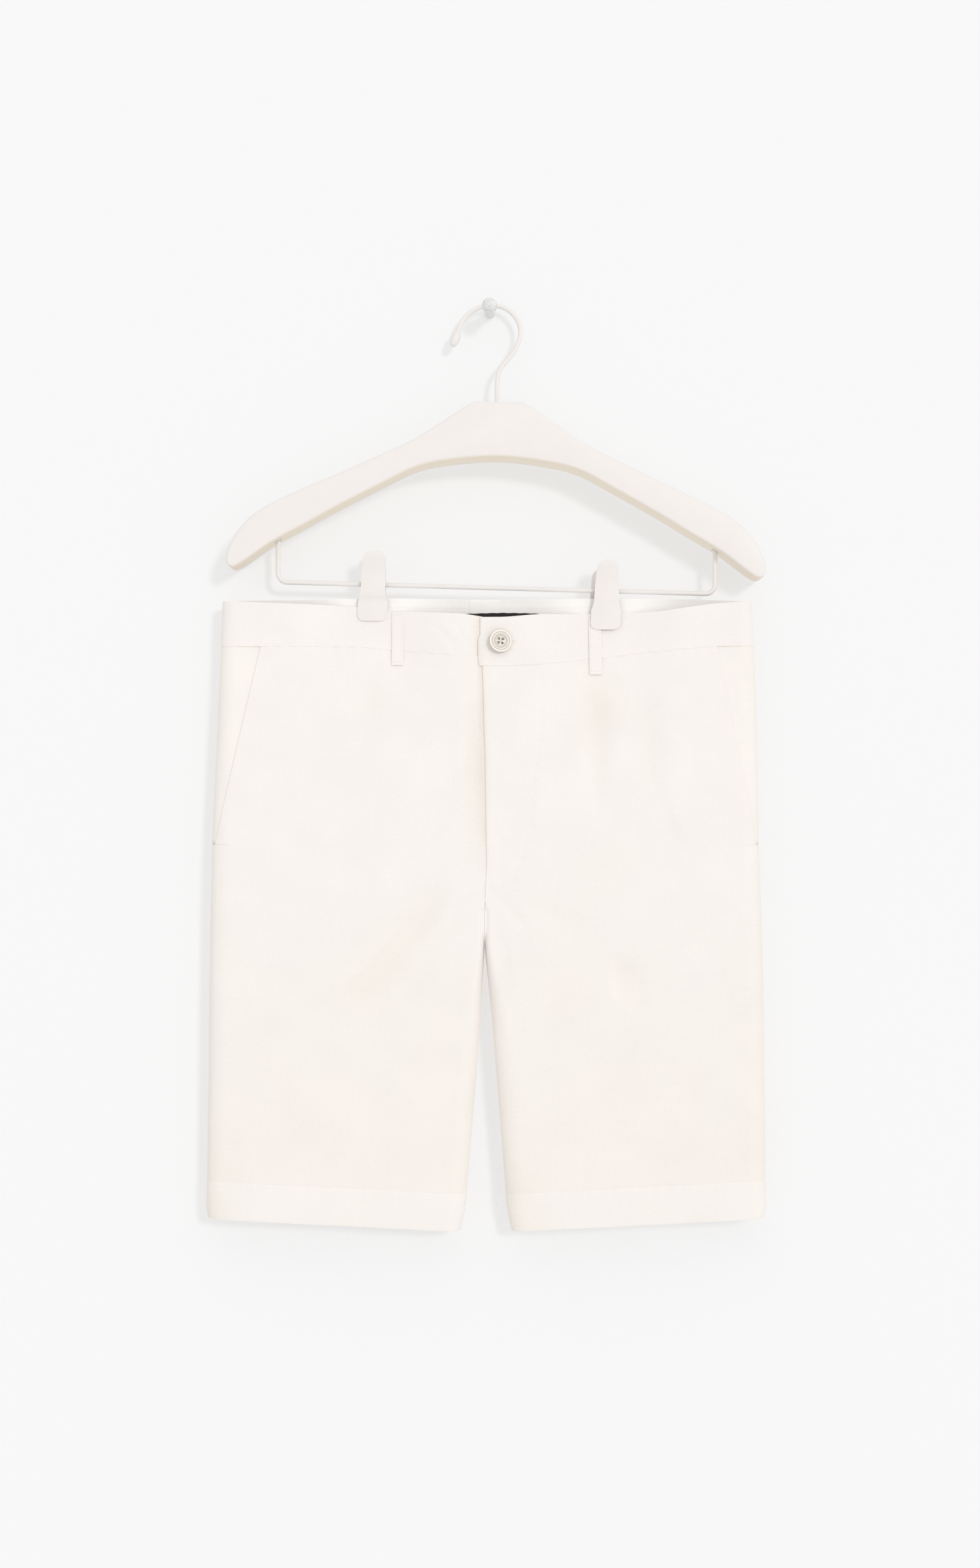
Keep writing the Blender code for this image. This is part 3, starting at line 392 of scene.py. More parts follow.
# Rows in millimetres: the path, the width and the depth; then the lean, the shoulder and the fade.
CREASE_ROWS = {
    Face.FRONT: (
        # Beside the fly, where the underlap draws the cloth in.
        (((-10.8, -340), (-12.5, -383.8), (-10.3, -427.1), (-8.1, -480)), 4.6, -1.1, 0.2, 0.25),
        (((-20.6, -297.1), (-23.8, -340.4), (-22.2, -394.6), (-19, -445)), 5, 0.8, -0.2),
        (((-30, -315), (-33, -370), (-29, -430)), 6, -0.5),
        (((-8.5, -298), (-7.6, -335), (-6.2, -380)), 2.6, -0.7, 0.2, 0.2),
        # Across the waistband beside the overlap.
        (((-53, -262), (-38, -275), (-23, -293.5)), 3.6, -0.7, 0.3, 0.3),
        (((-35, -260), (-25, -272), (-16.5, -288)), 3, -0.6, -0.2, 0.2),
        # Below the left clip and its belt loop.
        (((86.1, -306), (87.7, -367.5), (92.5, -440)), 7, -1.1, 0.2, 0.2),
        (((114, -306), (133, -377.3), (139, -400), (156, -448), (184, -468)), 8.5, -0.6, -0.3, 0.3, 0.35),
        (((143, -320), (156, -380), (163.6, -448.7)), 7.5, 0.6),
        (((64, -312), (60, -360), (62.5, -405)), 8, -0.6),
        (((29, -310), (25, -345), (27, -385)), 6, 0.4),
        # Below the right clip.
        (((-96, -296), (-101, -340), (-104, -395)), 8, -0.7, 0.2, 0.2),
        (((-131, -300), (-137, -350), (-135, -410)), 9, -0.5),
        (((-180.9, -295), (-181.8, -305), (-180.6, -318)), 2.2, -0.5),
        # The long diagonal of the right leg, from the crotch outwards.
        (((-24, -464), (-52, -502.9), (-84.5, -543.5), (-109.4, -569.5), (-149.5, -583)),
         6.5, -1.2, 0.35, 0.45, 0.35),
        (((-40, -476), (-76, -518), (-112, -554), (-145, -564)), 8.5, 0.9, -0.2, 0, 0.4),
        (((-18, -505), (-43, -533), (-64, -564)), 7, -0.7, 0.2, 0.2),
        (((-15, -535), (-30, -574), (-36, -620)), 8, -0.5),
        (((-145, -556), (-175, -570), (-202, -569)), 9, -0.5),
        # Little creases that run out from the crotch.
        (((10.3, -440), (9.5, -460), (8, -486)), 3, -0.5, 0, 0.3),
        (((4, -493), (18, -506), (34, -527)), 4.2, -0.7, 0.2, 0.3),
        (((3, -514), (12, -540), (16, -575)), 4.6, -0.6, 0, 0.2),
        (((-10, -492), (-22, -497), (-39, -509)), 3.8, -0.6, 0.2, 0.3),
        (((26, -498), (54, -508), (82, -530)), 9, -0.7),
        # The bent crease of the left leg.
        (((110.5, -538), (107.5, -560), (112, -580), (133, -590.5)), 5.6, -0.6, 0.25, 0.35, 0.35),
        (((115, -556), (116.5, -566), (123, -574)), 5, 0.3),
        (((148, -530), (144, -560), (152, -600)), 9, -0.5),
        (((164, -392), (176, -388), (188, -386)), 4, -0.3),
        (((213, -290), (215, -315), (216, -345)), 4.5, -0.8),
        # Lower legs.
        (((-185, -620), (-170, -655), (-178, -700)), 12, -0.6),
        (((-90, -635), (-98, -675), (-88, -725)), 11, -0.5),
        (((-205, -670), (-190, -708), (-199, -745)), 8, -0.4),
        (((56, -630), (64, -675), (56, -720)), 11, -0.5),
        (((79, -710), (80.5, -728), (78.5, -745)), 3.4, -0.4),
        (((175, -635), (166, -680), (176, -730)), 13, -0.6),
        (((125, -670), (132, -700), (125, -735)), 9, 0.4),
    ),
    Face.BACK: (
        # The back: below the clips, across the seat, out from the crotch and down the legs.
        (((-96, -298), (-102, -350), (-106, -430)), 7, -1, 0.2, 0.2),
        (((-132, -300), (-143, -350), (-148, -410)), 8, -0.7),
        (((98, -298), (105, -352), (106, -420)), 7, -1, 0.2, 0.2),
        (((70, -302), (64, -342), (66, -390)), 8, -0.6),
        (((-62, -375), (-30, -390), (-8, -387)), 8.5, -0.6),
        (((8, -408), (38, -418), (72, -405)), 9, -0.6),
        (((-13, -487), (-50, -510), (-86, -547), (-118, -570)), 7, -1.1, 0.3, 0.4, 0.35),
        (((8, -488), (43, -508), (82, -548), (108, -579)), 6.6, -1, -0.3, 0.4, 0.35),
        (((-12, -515), (-31, -548), (-39, -590)), 6.2, -0.7),
        (((6, -516), (23, -550), (29, -598)), 6, -0.7),
        (((-165, -590), (-150, -630), (-160, -690)), 13, -0.8),
        (((150, -575), (162, -625), (150, -690)), 12, -0.7),
        (((-80, -660), (-90, -700), (-78, -738)), 8, -0.5),
        (((70, -645), (78, -690), (70, -735)), 9, -0.5),
        (((-195, -420), (-180, -470), (-188, -520)), 10, -0.6),
        (((188, -400), (176, -450), (184, -505)), 10, -0.6),
    ),
}
CREASES = tuple(Crease(face, tuple(in_metres(point) for point in path), width * MM, depth * MM, *rest)
                for face, rows in CREASE_ROWS.items() for path, width, depth, *rest in rows)


# Patches of painted warm shade on the cloth, where folds, clips and loops shade it: place across, height,
# reach across and down, and share.
PAINTED_SHADE_CLOUDS = {
    Face.FRONT: ((-0.223, -0.34, 0.011, 0.05, 0.55), (0.09, -0.333, 0.018, 0.026, 0.45),
                 (0.219, -0.305, 0.006, 0.05, 0.45), (-0.017, -0.39, 0.006, 0.07, 0.35),
                 (-0.007, -0.36, 0.0035, 0.05, 0.6), (0.229, -0.56, 0.009, 0.16, 0.3),
                 (0.105, -0.47, 0.045, 0.035, 0.2), (-0.095, -0.575, 0.05, 0.03, 0.18),
                 (0.06, -0.56, 0.035, 0.05, 0.15)),
    Face.BACK: ((-0.09, -0.56, 0.06, 0.04, 0.2), (0.11, -0.36, 0.04, 0.05, 0.2)),
}


class Wave(NamedTuple):
    """One slow wave of the cloth: waves to a metre across and down, height and start."""

    across: float
    down: float
    height: float
    start: float


SLOW_WAVES = tuple(Wave(*row) for row in (
    (7.1, 3.3, 0.0003, 0.4), (-4.7, 9.2, 0.00024, 2.1), (13.3, -5.9, 0.00016, 4.0),
    (9.8, 15.6, 0.00012, 1.2), (-21.0, 8.4, 0.00008, 5.3), (17.5, 24.2, 0.00006, 3.1),
    (38.0, -11.0, 0.00003, 0.9), (-29.0, 41.0, 0.000025, 2.7),
))


@dataclass(frozen=True)
class Drape:
    """The form in which the cloth hangs: a flattened shell, its folds and its creases."""

    sections: tuple[Section, ...] = SECTIONS
    folds: tuple[BroadFold, ...] = BROAD_FOLDS
    creases: tuple[Crease, ...] = CREASES
    waves: tuple[Wave, ...] = SLOW_WAVES

    def column(self, name: str) -> Profile:
        """One column of the sections, read against height."""
        return Profile(tuple((row.height, getattr(row, name)) for row in self.sections), SECTION_BLUR)

    def outline(self, side: Side, z: Array) -> Array:
        """The side fold of one leg at each height."""
        return self.column(f"{side.word}_out").at(z)

    def inner_line(self, side: Side, z: Array) -> Array:
        """The inner fold of one leg, or the centre seam above the crotch."""
        return self.column(f"{side.word}_in").at(z)

    def depth(self, face: Face, z: Array) -> Array:
        """How far a face stands from the middle plane where it is flat."""
        return self.column(face.name.lower()).at(z)

    @staticmethod
    def fullness(distance: Array, reach: Array) -> Array:
        """Quarter ellipse: 0 on an outline and 1 from a reach inside it."""
        share = np.clip(distance / reach, 0.0, 1.0)
        return np.sqrt(1.0 - (1.0 - share) ** 2)

    @staticmethod
    def grip(x: Array, z: Array) -> Array:
        """How firmly the clips hold front and back together, from 0 to 1."""
        across = np.maximum(*(1.0 - ease(*GRIP_FADE_X, np.abs(x - place)) for place in CLIP_X))
        return across * (1.0 - ease(*GRIP_FADE_Z, z))

    def relief(self, face: Face, x: Array, z: Array) -> Array:
        """All folds, creases and slow waves of a face.

        Args:
            face: The face of the shorts.
            x: Places across.
            z: Heights.

        Returns:
            The lift at each place.
        """
        total = np.zeros(np.shape(x))
        for fold in self.folds + self.creases:
            if fold.face is face:
                total += fold.relief(x, z)
        turn = 0.0 if face is Face.FRONT else 1.9
        for wave in self.waves:
            angle = math.tau * (wave.across * x + wave.down * z) + wave.start + turn
            total += wave.height * np.sin(angle)
        return total

    def stand_off(self, face: Face, x: Array, z: Array) -> Array:
        """How far a face stands from the middle plane.

        Args:
            face: The face of the shorts.
            x: Places across.
            z: Heights.

        Returns:
            The stand-off at each place.
        """
        depth = self.depth(face, z)
        reach = REACH_PER_DEPTH * depth
        side = np.minimum(x - self.outline(Side.RIGHT, z), self.outline(Side.LEFT, z) - x)
        above = np.hypot(x - CROTCH_X, z - CROTCH_Z)
        below = np.where(x < CROTCH_X, self.inner_line(Side.RIGHT, z) - x, x - self.inner_line(Side.LEFT, z))
        inner = np.where(z > CROTCH_Z, above, below)
        small = REACH_PER_DEPTH * 0.0035
        inner_reach = small + (reach - small) * ease(CROTCH_Z - 0.02, CROTCH_Z - 0.12, z)
        closed = 0.85 * ease(CROTCH_Z - 0.034, CROTCH_Z - 0.014, z)
        rounding = self.fullness(side, reach) * np.maximum(self.fullness(inner, inner_reach), closed)
        held = self.grip(x, z)
        free = (depth + self.relief(face, x, z)) * rounding
        return np.maximum(free * (1.0 - held) + np.minimum(GRIP_DEPTH, free) * held, SEAM_HALF_GAP)

    def points(self, face: Face, x: Array, z: Array) -> Array:
        """Points of a face's outer surface, for arrays of places and heights."""
        y = MID_Y + face.value * self.stand_off(face, x, z)
        return np.stack([x, y, z], axis=-1)


def grid_normals(face: Face, points: Array) -> Array:
    """Outward directions of a grid of surface points.

    Args:
        face: The face that the grid lies on.
        points: The grid, as rows, columns and coordinates.

    Returns:
        One unit direction for each point.
    """
    run = np.gradient(points, axis=1)
    fall = np.gradient(points, axis=0)
    normals = np.cross(run, fall)
    wrong = (normals[..., 1] > 0.0) != (face is Face.BACK)
    normals[wrong] *= -1.0
    at_seam = np.abs(points[..., 1] - MID_Y) < GAP
    normals[..., 1][at_seam] = 0.0
    return normals / np.maximum(np.linalg.norm(normals, axis=-1, keepdims=True), 1e-12)


# ------------------------------------------------------------------ finishes

class Sheet:
    """A material's node tree while it is being laid out."""

    def __init__(self, name: str) -> None:
        """Start a material with one shader and its output."""
        self.material = bpy.data.materials.new(name)
        self.material.use_nodes = True
        self.tree = self.material.node_tree
        self.shader = self.tree.nodes["Principled BSDF"]

    def add(self, kind: str, inputs: dict[str | int, object] | None = None,
            **settings: object) -> bpy.types.Node:
        """Add a node.

        Args:
            kind: The node's type name.
            inputs: Values or sockets for its inputs.
            settings: Properties of the node itself.

        Returns:
            The new node.
        """
        made = self.tree.nodes.new(f"ShaderNode{kind}")
        for key, value in settings.items():
            setattr(made, key, value)
        for key, value in (inputs or {}).items():
            self.feed(made.inputs[key], value)
        return made

    def feed(self, socket: Socket, value: object) -> None:
        """Set an input, or link it when the value is another socket."""
        if isinstance(value, Socket):
            self.tree.links.new(value, socket)
        else:
            socket.default_value = value

    def set(self, **values: object) -> None:
        """Set the shader's inputs by name, with underscores for spaces."""
        for key, value in values.items():
            self.feed(self.shader.inputs[key.replace("_", " ")], value)

    def math(self, operation: str, first: object, second: object = 0.0) -> Socket:
        """A Math node's result."""
        return self.add("Math", {0: first, 1: second}, operation=operation).outputs[0]

    def vector(self, operation: str, first: object, second: object = (0.0, 0.0, 0.0),
               result: int = 0) -> Socket:
        """A Vector Math node's vector (0) or value (1)."""
        return self.add("VectorMath", {0: first, 1: second}, operation=operation).outputs[result]

    def scaled(self, first: object, scale: object) -> Socket:
        """A vector or colour times a number."""
        return self.add("VectorMath", {0: first, "Scale": scale}, operation="SCALE").outputs[0]

    def blend(self, share: object, low: object, high: object) -> Socket:
        """A mix of two colours."""
        low, high = (colour(value) if isinstance(value, tuple) else value for value in (low, high))
        node = self.add("Mix", data_type="RGBA")
        for key, value in ((0, share), (6, low), (7, high)):
            self.feed(node.inputs[key], value)
        return node.outputs[2]

    def noise(self, place: Socket, scale: float, detail: float = 2.0,
              rough: float = 0.5) -> Socket:
        """A Noise Texture's value."""
        inputs = {"Vector": place, "Scale": scale, "Detail": detail, "Roughness": rough}
        return self.add("TexNoise", inputs).outputs[0]

    def stretch(self, place: Socket, scale: Triple,
                shift: Triple = (0.0, 0.0, 0.0)) -> Socket:
        """A place scaled and shifted by a Mapping node."""
        return self.add("Mapping", {"Vector": place, "Location": shift, "Scale": scale}).outputs[0]

    def spread(self, value: object, low: float, high: float, to_low: float = 0.0,
               to_high: float = 1.0) -> Socket:
        """A value moved from one range to another and kept inside it."""
        inputs = {"Value": value, "From Min": low, "From Max": high, "To Min": to_low, "To Max": to_high}
        return self.add("MapRange", inputs).outputs[0]

    def ripple(self, value: object, turns: float) -> Socket:
        """The sine of a value times a number."""
        return self.math("SINE", self.math("MULTIPLY", value, turns))

    def object_place(self) -> Socket:
        """Object coordinates."""
        return self.add("TexCoord").outputs["Object"]

    def bump(self, height: object, distance: float, strength: float = 1.0,
             under: Socket | None = None) -> Socket:
        """A bump of a height in metres over another bump."""
        inputs = {"Height": height, "Distance": distance, "Strength": strength}
        if under is not None:
            inputs["Normal"] = under
        return self.add("Bump", inputs).outputs[0]


def colour(value: Triple) -> tuple[float, float, float, float]:
    """A colour with full opacity."""
    return (*value, 1.0)


class Finish:
    """A named finish, whose material is made once and then shared."""

    name: str

    def material(self) -> Paint:
        """Make the finish's material, or reuse it."""
        if self.name not in bpy.data.materials:
            self.lay_out(Sheet(self.name))
        return bpy.data.materials[self.name]

    def lay_out(self, sheet: Sheet) -> None:
        """Lay out the nodes, in each finish's own way."""
        raise NotImplementedError


@dataclass(frozen=True)
class WovenCloth(Finish):
    """A plain-woven cloth with slubs, read from the cloth's own UV map in metres."""

    name: str
    bright: Triple
    warm: Triple
    pitch: float = 0.0006
    slub: float = 0.014
    relief: float = 0.00004
    sheen: float = 0.12

    def lay_out(self, sheet: Sheet) -> None:
        """Lay out the cloth\'s nodes."""
        place = sheet.add("UVMap", uv_map="weave").outputs[0]
        wobble = sheet.add("TexNoise", {"Vector": place, "Scale": 160.0, "Detail": 2.0}).outputs[1]
        shifted = sheet.scaled(sheet.vector("SUBTRACT", wobble, (0.5, 0.5, 0.5)), 0.0011)
        thread = sheet.vector("ADD", place, shifted)
        split = sheet.add("SeparateXYZ", {0: thread})
        warp, weft = (sheet.ripple(split.outputs[index], math.pi / self.pitch) for index in (0, 1))
        weave = sheet.spread(sheet.math("MULTIPLY", warp, weft), -1.0, 1.0)
        thick_warp = sheet.noise(sheet.stretch(thread, (1500.0, 34.0, 1.0)), 1.0, 2.0, 0.6)
        thick_weft = sheet.noise(sheet.stretch(thread, (30.0, 1500.0, 1.0), (3.0, 7.0, 0.0)), 1.0, 2.0, 0.6)
        long_weft = sheet.noise(sheet.stretch(thread, (16.0, 800.0, 1.0), (9.0, 2.0, 0.0)), 1.0, 1.0, 0.5)
        slubs = sheet.spread(sheet.math("ADD", thick_warp, thick_weft), 0.72, 1.28)
        cloud = sheet.noise(place, 22.0, 3.0, 0.55)
        fine = sheet.noise(place, 420.0, 2.0, 0.6)
        # The tone attribute mixes the warm shade colour into the bright one; its low values are mostly
        # painted shade.
        tone = sheet.add("Attribute", attribute_name="tone").outputs["Fac"]
        shade = sheet.blend(tone, self.warm, self.bright)
        lift = sheet.spread(cloud, 0.3, 0.7, 0.985, 1.012)
        grain = sheet.spread(slubs, 0.0, 1.0, 1.0 - self.slub, 1.0 + 0.4 * self.slub)
        speck = sheet.spread(fine, 0.3, 0.7, 0.991, 1.007)
        total = sheet.math("MULTIPLY", sheet.math("MULTIPLY", lift, grain), speck)
        toned = sheet.scaled(shade, total)
        relief = sheet.bump(cloud, 0.00035, 0.35)
        relief = sheet.bump(sheet.math("ADD", slubs, long_weft), self.relief, 0.9, relief)
        relief = sheet.bump(weave, self.relief * 0.8, 0.7, relief)
        rough = sheet.spread(slubs, 0.0, 1.0, 0.8, 0.95)
        sheet.set(Base_Color=toned, Roughness=rough, Normal=relief)
        sheet.set(Sheen_Weight=self.sheen, Sheen_Roughness=0.5, Specular_IOR_Level=0.22)


@dataclass(frozen=True)
class RibbedTape(Finish):
    """A woven tape with fine ribs, such as a plain sewn-in label."""

    name: str
    base: Triple
    edge: Triple

    def lay_out(self, sheet: Sheet) -> None:
        """Lay out the tape\'s nodes."""
        place = sheet.add("UVMap", uv_map="weave").outputs[0]
        split = sheet.add("SeparateXYZ", {0: place})
        ribs = sheet.ripple(split.outputs[1], math.tau / 0.0007)
        cross = sheet.ripple(split.outputs[0], math.tau / 0.0005)
        weave = sheet.spread(sheet.math("MULTIPLY", ribs, cross), -1.0, 1.0)
        lint = sheet.noise(place, 900.0, 3.0, 0.7)
        shade = sheet.blend(sheet.spread(lint, 0.45, 0.75), self.base, self.edge)
        relief = sheet.bump(sheet.spread(ribs, -1.0, 1.0), 0.0001, 0.8)
        sheet.set(Base_Color=shade, Roughness=sheet.spread(weave, 0.0, 1.0, 0.6, 0.85),
                  Normal=sheet.bump(weave, 0.00006, 0.6, relief))
        sheet.set(Sheen_Weight=0.3, Specular_IOR_Level=0.3)


@dataclass(frozen=True)
class Moulding(Finish):
    """A satin moulded or painted surface with faint mottling and handling marks."""

    name: str
    base: Triple
    shade: Triple
    # Darker, warmer colour of faces that look down: painted shade, set by the 'under' attribute.
    under: Triple = (0.9, 0.8, 0.66)
    rough: float = 0.42
    mottle: float = 70.0
    dimple: float = 0.00002
    specular: float = 0.4

    def lay_out(self, sheet: Sheet) -> None:
        """Lay out the moulding\'s nodes."""
        place = sheet.object_place()
        cloud = sheet.noise(place, self.mottle, 4.0, 0.6)
        fine = sheet.noise(place, 1400.0, 2.0, 0.5)
        scuff = sheet.noise(sheet.stretch(place, (26.0, 260.0, 140.0)), 1.0, 3.0, 0.6)
        shade = sheet.blend(sheet.spread(cloud, 0.35, 0.75), self.base, self.shade)
        # Painted shade on the moulding's underside, where the 'under' attribute is set.
        under = sheet.add("Attribute", attribute_name="under").outputs["Fac"]
        shade = sheet.blend(under, shade, self.under)
        rough = sheet.math("ADD", sheet.spread(fine, 0.3, 0.7, self.rough - 0.04, self.rough + 0.04),
                           sheet.spread(scuff, 0.55, 0.8, 0.0, 0.1))
        relief = sheet.bump(fine, self.dimple, 0.7)
        relief = sheet.bump(cloud, 0.0001, 0.25, relief)
        sheet.set(Base_Color=shade, Roughness=rough, Normal=relief)
        sheet.set(Specular_IOR_Level=self.specular)


@dataclass(frozen=True)
class PearlySpeckle(Finish):
    """Pale knob metal: pearly, speckled, with fine flutes along its neck."""

    name: str = "pearly_knob"
    light: Triple = (0.9, 0.9, 0.89)
    dark: Triple = (0.62, 0.62, 0.61)

    def lay_out(self, sheet: Sheet) -> None:
        """Lay out the knob\'s nodes."""
        place = sheet.object_place()
        cells = sheet.add("TexVoronoi", {"Vector": place, "Scale": 620.0}).outputs[0]
        cloud = sheet.noise(place, 330.0, 4.0, 0.7)
        streak = sheet.noise(sheet.stretch(place, (900.0, 60.0, 900.0)), 1.0, 2.0, 0.6)
        mixed = sheet.math("ADD", sheet.math("MULTIPLY", cloud, 0.6), sheet.math("MULTIPLY", streak, 0.4))
        shade = sheet.blend(sheet.spread(mixed, 0.4, 0.66), self.light, self.dark)
        relief = sheet.bump(cells, 0.00025, 0.5)
        relief = sheet.bump(streak, 0.0002, 0.4, relief)
        sheet.set(Base_Color=shade, Roughness=sheet.spread(cloud, 0.3, 0.7, 0.28, 0.5), Normal=relief)
        sheet.set(Metallic=0.1, Specular_IOR_Level=0.5)


@dataclass(frozen=True)
class HornButton(Finish):
    """Horn-like button: a cream rim round a mottled beige dish, read from the button's centre."""

    centre: Triple
    facing: Triple
    name: str = "horn_button"
    cream: Triple = (0.94, 0.88, 0.81)
    groove: Triple = (0.42, 0.34, 0.27)
    dish: Triple = (0.7, 0.635, 0.555)
    side: Triple = (0.42, 0.31, 0.2)
    hole: Triple = (0.1, 0.065, 0.04)

    def lay_out(self, sheet: Sheet) -> None:
        """Lay out the button\'s nodes."""
        x, y, z = self.centre
        place = sheet.stretch(sheet.object_place(), (1.0, 1.0, 1.0), (-x, -y, -z))
        height = sheet.vector("DOT_PRODUCT", place, self.facing, 1)
        reach = sheet.vector("LENGTH", place, result=1)
        square = sheet.math("SUBTRACT", sheet.math("POWER", reach, 2.0), sheet.math("POWER", height, 2.0))
        radius = sheet.math("SQRT", sheet.math("MAXIMUM", square, 0.0))
        cloud = sheet.noise(place, 420.0, 4.0, 0.65)
        grain = sheet.noise(sheet.stretch(place, (300.0, 300.0, 1500.0)), 1.0, 3.0, 0.6)
        ramp = sheet.add("ValToRGB", {0: sheet.math("MULTIPLY", radius, 100.0)})
        # The narrow groove ring is painted darker: painted shade in the groove.
        stops = ((0.0, self.dish), (0.56, self.dish), (0.65, self.cream), (0.715, self.cream),
                 (0.74, self.groove), (0.755, self.groove), (0.78, self.cream), (1.0, self.cream))
        band = ramp.color_ramp
        for position, tint in stops[1:-1]:
            band.elements.new(position)
        for element, (position, tint) in zip(band.elements, stops):
            element.position = position
            element.color = colour(tint)
        # Below the face the button is darker: brown on its side, and near black inside the holes, which is
        # painted shade.
        deep = sheet.spread(height, -0.0009, -0.0014)
        low = sheet.blend(sheet.spread(radius, 0.0045, 0.004), self.side, self.hole)
        shade = sheet.blend(deep, ramp.outputs[0], low)
        mottle = sheet.math("ADD", sheet.spread(cloud, 0.3, 0.7, 0.92, 1.04),
                            sheet.spread(grain, 0.4, 0.7, 0.0, -0.05))
        toned = sheet.scaled(shade, mottle)
        relief = sheet.bump(grain, 0.00003, 0.5)
        sheet.set(Base_Color=toned, Roughness=sheet.spread(cloud, 0.3, 0.7, 0.22, 0.36), Normal=relief)
        sheet.set(Specular_IOR_Level=0.5)


@dataclass(frozen=True)
class SewingThread(Finish):
    """Matt twisted thread."""

    name: str = "sewing_thread"
    light: Triple = (0.91, 0.87, 0.82)
    dark: Triple = (0.8, 0.75, 0.68)

    def lay_out(self, sheet: Sheet) -> None:
        """Lay out the thread\'s nodes."""
        place = sheet.object_place()
        ply = sheet.add("TexWave", {"Vector": sheet.stretch(place, (1.0, 1.0, 1.3)), "Scale": 420.0,
                                    "Distortion": 2.0, "Detail": 1.0}, bands_direction="DIAGONAL").outputs[1]
        fuzz = sheet.noise(place, 2600.0, 2.0, 0.6)
        shade = sheet.blend(sheet.math("MULTIPLY", ply, fuzz), self.light, self.dark)
        relief = sheet.bump(ply, 0.00006, 0.8)
        sheet.set(Base_Color=shade, Roughness=sheet.spread(fuzz, 0.3, 0.7, 0.7, 0.9),
                  Normal=sheet.bump(fuzz, 0.00002, 0.6, relief))
        sheet.set(Sheen_Weight=0.2, Specular_IOR_Level=0.3)


# The second colour of each cloth is the warm colour of its painted shade.
CLOTH = WovenCloth("white_woven_cloth", (0.932, 0.888, 0.851), (0.895, 0.838, 0.772))
# The lining is painted brighter than the cloth: painted light that lifts the shade inside the waist.
LINING = WovenCloth("waistband_lining", (0.99, 0.966, 0.94), (0.95, 0.912, 0.87))
FACING = WovenCloth("pocket_facing_cloth", (0.94, 0.896, 0.85), (0.905, 0.85, 0.79))
LABEL = RibbedTape("black_label_tape", (0.012, 0.01, 0.01), (0.055, 0.045, 0.04))
PLASTIC = Moulding("ivory_plastic", (0.88, 0.838, 0.808), (0.866, 0.822, 0.788))
WIRE = Moulding("ivory_wire_paint", (0.872, 0.836, 0.806), (0.85, 0.812, 0.78), rough=0.4)
KNOB = PearlySpeckle()
THREAD = SewingThread()


# ------------------------------------------------------------------ mesh helpers

def link(name: str, mesh: Mesh, material: Paint) -> Piece:
    """Put a mesh in the scene as a named object with one material."""
    made = bpy.data.objects.new(name, mesh)
    bpy.context.scene.collection.objects.link(made)
    mesh.materials.clear()
    mesh.materials.append(material)
    return made


def to_mesh(name: str, work: Work, sharp: float = 40.0) -> Mesh:
    """Turn a finished bmesh into a mesh with smooth shading.

    Args:
        name: The mesh's name.
        work: The bmesh, which is freed.
        sharp: Edges that bend more than this many degrees stay sharp.

    Returns:
        The mesh.
    """
    mesh = bpy.data.meshes.new(name)
    work.to_mesh(mesh)
    work.free()
    mesh.shade_smooth()
    mesh.set_sharp_from_angle(angle=math.radians(sharp))
    return mesh


def grid_mesh(name: str, face: Face, points: Array) -> tuple[Mesh, Array, Array]:
    """Lay a sheet on a grid of points, so that it looks the way its face does.

    Args:
        name: The mesh's name.
        face: The face that the sheet lies on.
        points: The grid, as rows, columns and coordinates.

    Returns:
        The mesh, and the row and the column of each vertex.
    """
    rows, columns = points.shape[:2]
    work = bmesh.new()
    bmesh.ops.create_grid(work, x_segments=columns - 1, y_segments=rows - 1, size=0.5)
    mesh = bpy.data.meshes.new(name)
    work.to_mesh(mesh)
    work.free()
    flat = np.empty(len(mesh.vertices) * 3, np.float32)
    mesh.vertices.foreach_get("co", flat)
    flat = flat.reshape(-1, 3)
    column = np.rint((flat[:, 0] + 0.5) * (columns - 1)).astype(int)
    row = np.rint((0.5 - flat[:, 1]) * (rows - 1)).astype(int)
    mesh.vertices.foreach_set("co", points[row, column].astype(np.float32).ravel())
    mesh.update()
    facing = np.empty(len(mesh.polygons) * 3, np.float32)
    mesh.polygons.foreach_get("normal", facing)
    if facing[1::3].mean() * face.value < 0.0:
        mesh.flip_normals()
    mesh.shade_smooth()
    return mesh, row, column


def turned(profile: tuple[Pair, ...], steps: int, closed: bool = False) -> Work:
    """Turn a profile once round Z.

    Args:
        profile: Height and radius of each point.
        steps: Steps in the turn.
        closed: Whether the last point joins the first.

    Returns:
        The turned form.
    """
    work = bmesh.new()
    points = [work.verts.new((radius, 0.0, height)) for height, radius in profile]
    following = points[1:] + (points[:1] if closed else [])
    edges = [work.edges.new(pair) for pair in zip(points, following)]
    bmesh.ops.spin(work, geom=points + edges, cent=(0.0, 0.0, 0.0), axis=(0.0, 0.0, 1.0),
                   angle=math.tau, steps=steps, use_merge=True)
    bmesh.ops.remove_doubles(work, verts=work.verts, dist=SAME_PLACE)
    bmesh.ops.recalc_face_normals(work, faces=work.faces)
    return work


def place_piece(name: str, work: Work, sharp: float, finish: Finish, matrix: Matrix | None = None) -> Piece:
    """Put a finished form in the scene.

    Args:
        name: The piece's name.
        work: The form, which is freed.
        sharp: Edges that bend more than this many degrees stay sharp.
        finish: The piece's finish.
        matrix: Where the form goes, if it isn't there yet.

    Returns:
        The piece.
    """
    if matrix is not None:
        bmesh.ops.transform(work, matrix=matrix, verts=work.verts)
    return link(name, to_mesh(name, work, sharp), finish.material())


def keep_modifiers(piece: Piece) -> None:
    """Make a piece's modifiers part of its mesh."""
    graph = bpy.context.evaluated_depsgraph_get()
    graph.update()
    mesh = bpy.data.meshes.new_from_object(piece.evaluated_get(graph))
    piece.modifiers.clear()
    piece.data = mesh


